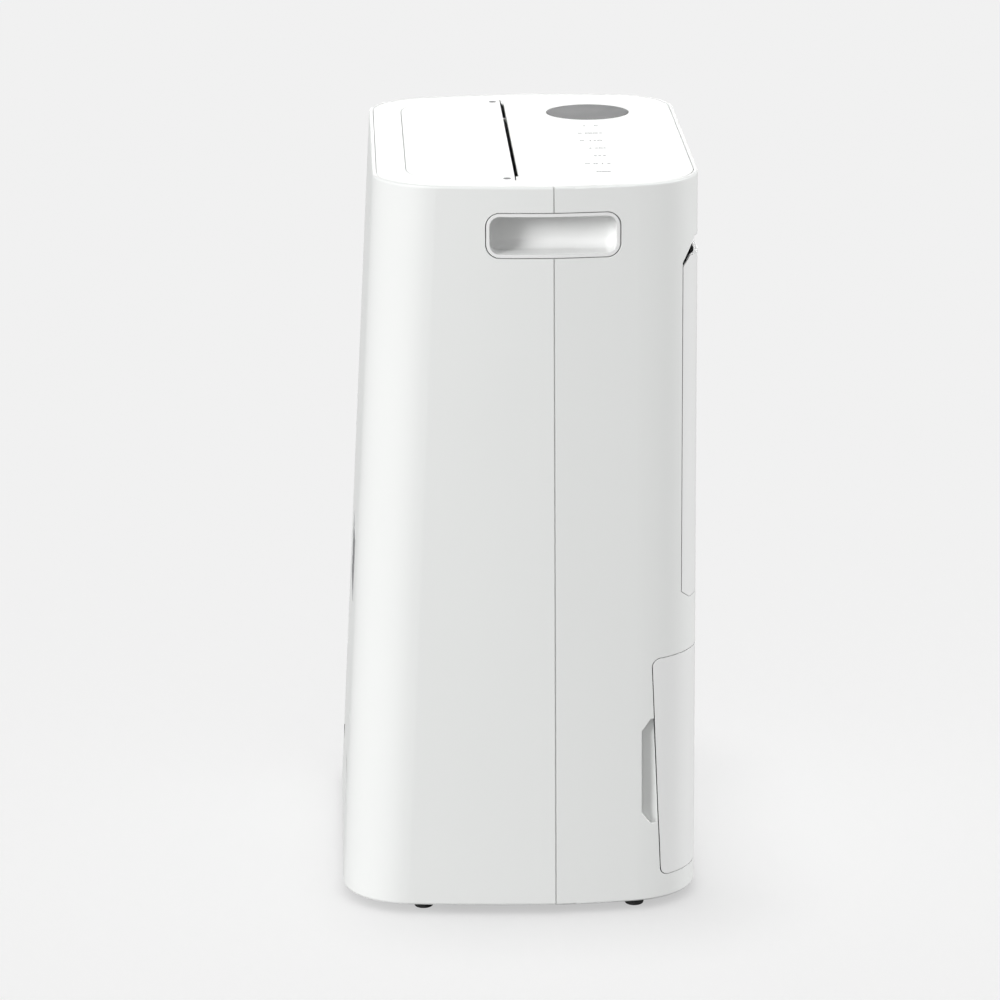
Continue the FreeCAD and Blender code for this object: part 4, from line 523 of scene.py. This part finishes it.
# what is printed beside each touch key, in mm along the row: a dot, a bar, a ring or an upright
KEY_ROWS = (
    (("dot", -54.5, 0.7), ("ring", -62.6, 0.8)),
    (("bar", -50.0, 2.6), ("ring", -55.4, 1.3), ("upright", -57.9, 2.2), ("ring", -60.6, 1.3),
     ("bar", -64.4, 1.8)),
    (("bar", -50.0, 2.8), ("upright", -55.9, 2.4), ("bar", -59.0, 1.6), ("ring", -62.3, 1.1)),
    (("dot", -54.4, 0.7), ("bar", -58.6, 1.8), ("ring", -61.4, 0.8), ("dot", -64.0, 0.7)),
    (("dot", -56.2, 0.8), ("dot", -59.2, 0.8), ("dot", -62.4, 0.8)),
    (("bar", -49.4, 3.4), ("ring", -54.9, 0.9), ("upright", -59.5, 2.4), ("bar", -63.8, 2.0)),
    (("ring", -55.4, 0.9), ("bar", -60.2, 6.2)),
)


def key_marks(ink):
    """The fine grey print that tells the seven touch keys apart."""
    shape = bmesh.new()
    low = COVER_TOP - INK_LIFT
    thick = 2 * INK_LIFT
    for number, row in enumerate(KEY_ROWS):
        x = KEY_X - number * KEY_PITCH
        for kind, across, size in row:
            y = across * MM
            if kind == "dot":
                add_disc(shape, x, y, 1.25 * size * MM, low, thick)
            elif kind == "ring":
                add_print_ring(shape, x, y, size * MM)
            elif kind == "bar":
                add_bar(shape, x, y, 1.5 * MM, size * MM, low, thick)
            else:
                add_bar(shape, x, y, 1.3 * size * MM, 0.8 * MM, low, thick)
    new_piece("touch_key_print", shape, ink, "cabinet")


def lens_rim(white):
    """The thin raised lip round the display window."""
    low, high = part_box("display_lens")
    x = (low.x + high.x) / 2
    y = (low.y + high.y) / 2
    inner = (high.x - low.x) / 2 + 0.35 * MM
    shape = bmesh.new()
    profile = [(inner, COVER_TOP - 0.3 * MM), (inner + 1.0 * MM, COVER_TOP - 0.1 * MM),
               (inner + 0.8 * MM, COVER_TOP + 0.12 * MM), (inner + 0.2 * MM, COVER_TOP + 0.16 * MM)]
    add_ring(shape, x, y, profile)
    new_piece("lens_rim", shape, white, "cabinet")


def hinge_plugs(black):
    """The two small plugs over the hinge ends at the louver's front corners."""
    low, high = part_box("hinge_pins")
    hinge_y = (low.y + high.y) / 2
    shape = bmesh.new()
    for side in (-1, 1):
        add_disc(shape, side * PLUG_X, hinge_y, PLUG_RADIUS, COVER_TOP - 0.5 * MM, 0.6 * MM, 32)
    new_piece("hinge_plugs", shape, black, "louver")


def plate_print(ink):
    """Plain bars on the rear plate, where a maker's table would be."""
    low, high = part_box("rating_plate")
    lean = high.y - low.y - PLATE_SKIN
    slope = math.atan(lean / (high.z - low.z))
    shape = bmesh.new()
    for number in range(PRINT_LINES):
        share = (number + 1) / (PRINT_LINES + 1)
        z = high.z + (low.z - high.z) * share
        y = low.y + PLATE_SKIN + lean * share
        width = LONG_LINE if number % 3 else SHORT_LINE
        x = (width - LONG_LINE) / 2
        spot = Matrix.Translation((x, y, z)) @ Matrix.Rotation(slope, 4, "X")
        spot = spot @ Matrix.Diagonal((width, LINE_THICK, LINE_HIGH, 1.0))
        bmesh.ops.create_cube(shape, size=1.0, matrix=spot)
    new_piece("plate_print", shape, ink, "cabinet")


GREY_INK = plastic("grey_printing_ink", (0.07, 0.07, 0.075), 0.5, edge_highlight_and_wear=0.1, bump=0.05)

dress_cad_parts()
key_marks(GREY_INK)
lens_rim(FINISHES["panel_white"])
hinge_plugs(FINISHES["fan_black"])
plate_print(GREY_INK)


# ---------------------------------------------------------------------------
# The studio
# ---------------------------------------------------------------------------

def soft_shade(tree):
    """1 on open paper, falling off softly towards the foot of the cabinet."""
    split = tree.nodes.new("ShaderNodeSeparateXYZ")
    tree.links.new(place_vector(tree), split.inputs["Vector"])
    beyond = []
    for axis, middle, reach in (("X", SHADE_X, SHADE_HALF_X), ("Y", SHADE_Y, SHADE_HALF_Y)):
        across = math_node(tree, "ABSOLUTE", math_node(tree, "SUBTRACT", split.outputs[axis], middle))
        outward = math_node(tree, "MAXIMUM", math_node(tree, "SUBTRACT", across, reach), 0.0)
        beyond.append(math_node(tree, "POWER", outward, 2.0))
    distance = math_node(tree, "SQRT", math_node(tree, "ADD", beyond[0], beyond[1]))
    near = spread(tree, distance, SHADE_FROM, SHADE_REACH, 1.0, 0.0)
    deep = math_node(tree, "MULTIPLY", math_node(tree, "POWER", near, 1.5), SHADE_DEEP)
    return math_node(tree, "SUBTRACT", 1.0, deep)


def studio_paper():
    """The pale sweep: matt paper, lifted a little towards the lens so that it stays even."""
    material, tree, shader = new_finish("pale_studio_paper")
    fibre = spread(tree, noise(tree, place_vector(tree), 3.0, 2.0), 0.3, 0.7, 0.997, 1.003)
    shade = tree.nodes.new("ShaderNodeHueSaturation")
    shade.inputs["Color"].default_value = (PAPER_TONE, PAPER_TONE, PAPER_TONE, 1)
    tree.links.new(fibre, shade.inputs["Value"])
    tree.links.new(shade.outputs["Color"], shader.inputs["Base Color"])
    shader.inputs["Roughness"].default_value = 0.95
    shader.inputs["Specular IOR Level"].default_value = 0.0
    ray = tree.nodes.new("ShaderNodeLightPath")
    shown = math_node(tree, "MULTIPLY", ray.outputs["Is Camera Ray"], PAPER_LIFT)
    lift = math_node(tree, "MULTIPLY", shown, soft_shade(tree))
    shader.inputs["Emission Color"].default_value = (1, 1, 1, 1)
    tree.links.new(lift, shader.inputs["Emission Strength"])
    return material


def studio_floor():
    """A wide sheet of the paper, level with the feet."""
    reach = 30.0
    shape = bmesh.new()
    corners = [shape.verts.new((x, y, 0.0)) for x, y in
               ((-reach, -reach), (reach, -reach), (reach, reach), (-reach, reach))]
    shape.faces.new(corners)
    mesh = bpy.data.meshes.new("studio_floor")
    shape.to_mesh(mesh)
    shape.free()
    mesh.materials.append(studio_paper())
    floor = bpy.data.objects.new("studio_floor", mesh)
    bpy.context.scene.collection.objects.link(floor)
    floor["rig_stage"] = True


def studio_air(strength):
    """Even light from all round."""
    world = bpy.data.worlds.new("studio_air")
    world.use_nodes = True
    background = next(node for node in world.node_tree.nodes if node.type == "BACKGROUND")
    background.inputs["Color"].default_value = (1.0, 1.0, 1.0, 1)
    background.inputs["Strength"].default_value = strength
    bpy.context.scene.world = world


def wide_light(name, azimuth, height, strength, softness, lit):
    """A wide soft light from far off. Azimuth 0 shines along +X, and 90 along +Y, onto the front."""
    light = bpy.data.lights.new(name, "SUN")
    light.energy = strength
    light.angle = math.radians(softness)
    lamp = bpy.data.objects.new(name, light)
    turn = math.radians(azimuth)
    rise = math.radians(height)
    towards = Vector((math.cos(turn) * math.cos(rise), math.sin(turn) * math.cos(rise),
                      -math.sin(rise)))
    lamp.rotation_euler = towards.to_track_quat("-Z", "Y").to_euler()
    bpy.context.scene.collection.objects.link(lamp)
    lamp.light_linking.receiver_collection = lit


def lit_pieces():
    """The appliance without the paper, so that the directed lights leave the paper even."""
    group = bpy.data.collections.new("lit_pieces")
    for piece in bpy.data.objects:
        if piece.type == "MESH" and "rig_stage" not in piece:
            group.objects.link(piece)
    return group


def studio_camera():
    """A long lens square to the machine's right side, a little above the top."""
    pitch = math.radians(CAMERA_PITCH)
    yaw = math.radians(CAMERA_YAW)
    roll = math.radians(CAMERA_ROLL)
    forward = Vector((math.cos(yaw) * math.cos(pitch), -math.sin(yaw) * math.cos(pitch),
                      -math.sin(pitch)))
    side = Vector((-math.sin(yaw), -math.cos(yaw), 0.0))
    up = side.cross(forward)
    right = math.cos(roll) * side - math.sin(roll) * up
    top = math.sin(roll) * side + math.cos(roll) * up
    turn = Matrix((right, top, -forward)).transposed()
    lens = bpy.data.cameras.new("studio_camera")
    lens.sensor_width = 36.0
    lens.lens = CAMERA_LENS
    lens.clip_end = 100.0
    camera = bpy.data.objects.new("studio_camera", lens)
    camera.matrix_world = Matrix.Translation(CAMERA_PLACE) @ turn.to_4x4()
    bpy.context.scene.collection.objects.link(camera)
    bpy.context.scene.camera = camera


# the camera's place in metres, its turns in degrees and its lens in millimetres
CAMERA_PLACE = (-3.0089, 0.1144, 1.0964)
CAMERA_PITCH = 15.76
CAMERA_YAW = 2.04
CAMERA_ROLL = 0.37
CAMERA_LENS = 160.24

# the light all round, the paper, and the soft shade that lies a little to the front of the cabinet
AIR = 0.56
PAPER_TONE = 0.45
PAPER_LIFT = 0.627
SHADE_X = -10 * MM
SHADE_Y = -30 * MM
SHADE_HALF_X = 116 * MM
SHADE_HALF_Y = 45 * MM
SHADE_FROM = 40 * MM
SHADE_REACH = 150 * MM
SHADE_DEEP = 0.19

studio_floor()
studio_air(AIR)
appliance = lit_pieces()
wide_light("key_light", -52, 18.5, 2.50, 20, appliance)
wide_light("front_fill", 92, 18, 2.12, 36, appliance)
wide_light("far_side_fill", 180, 2, 1.10, 40, appliance)
studio_camera()
bpy.context.scene.view_settings.view_transform = "Standard"
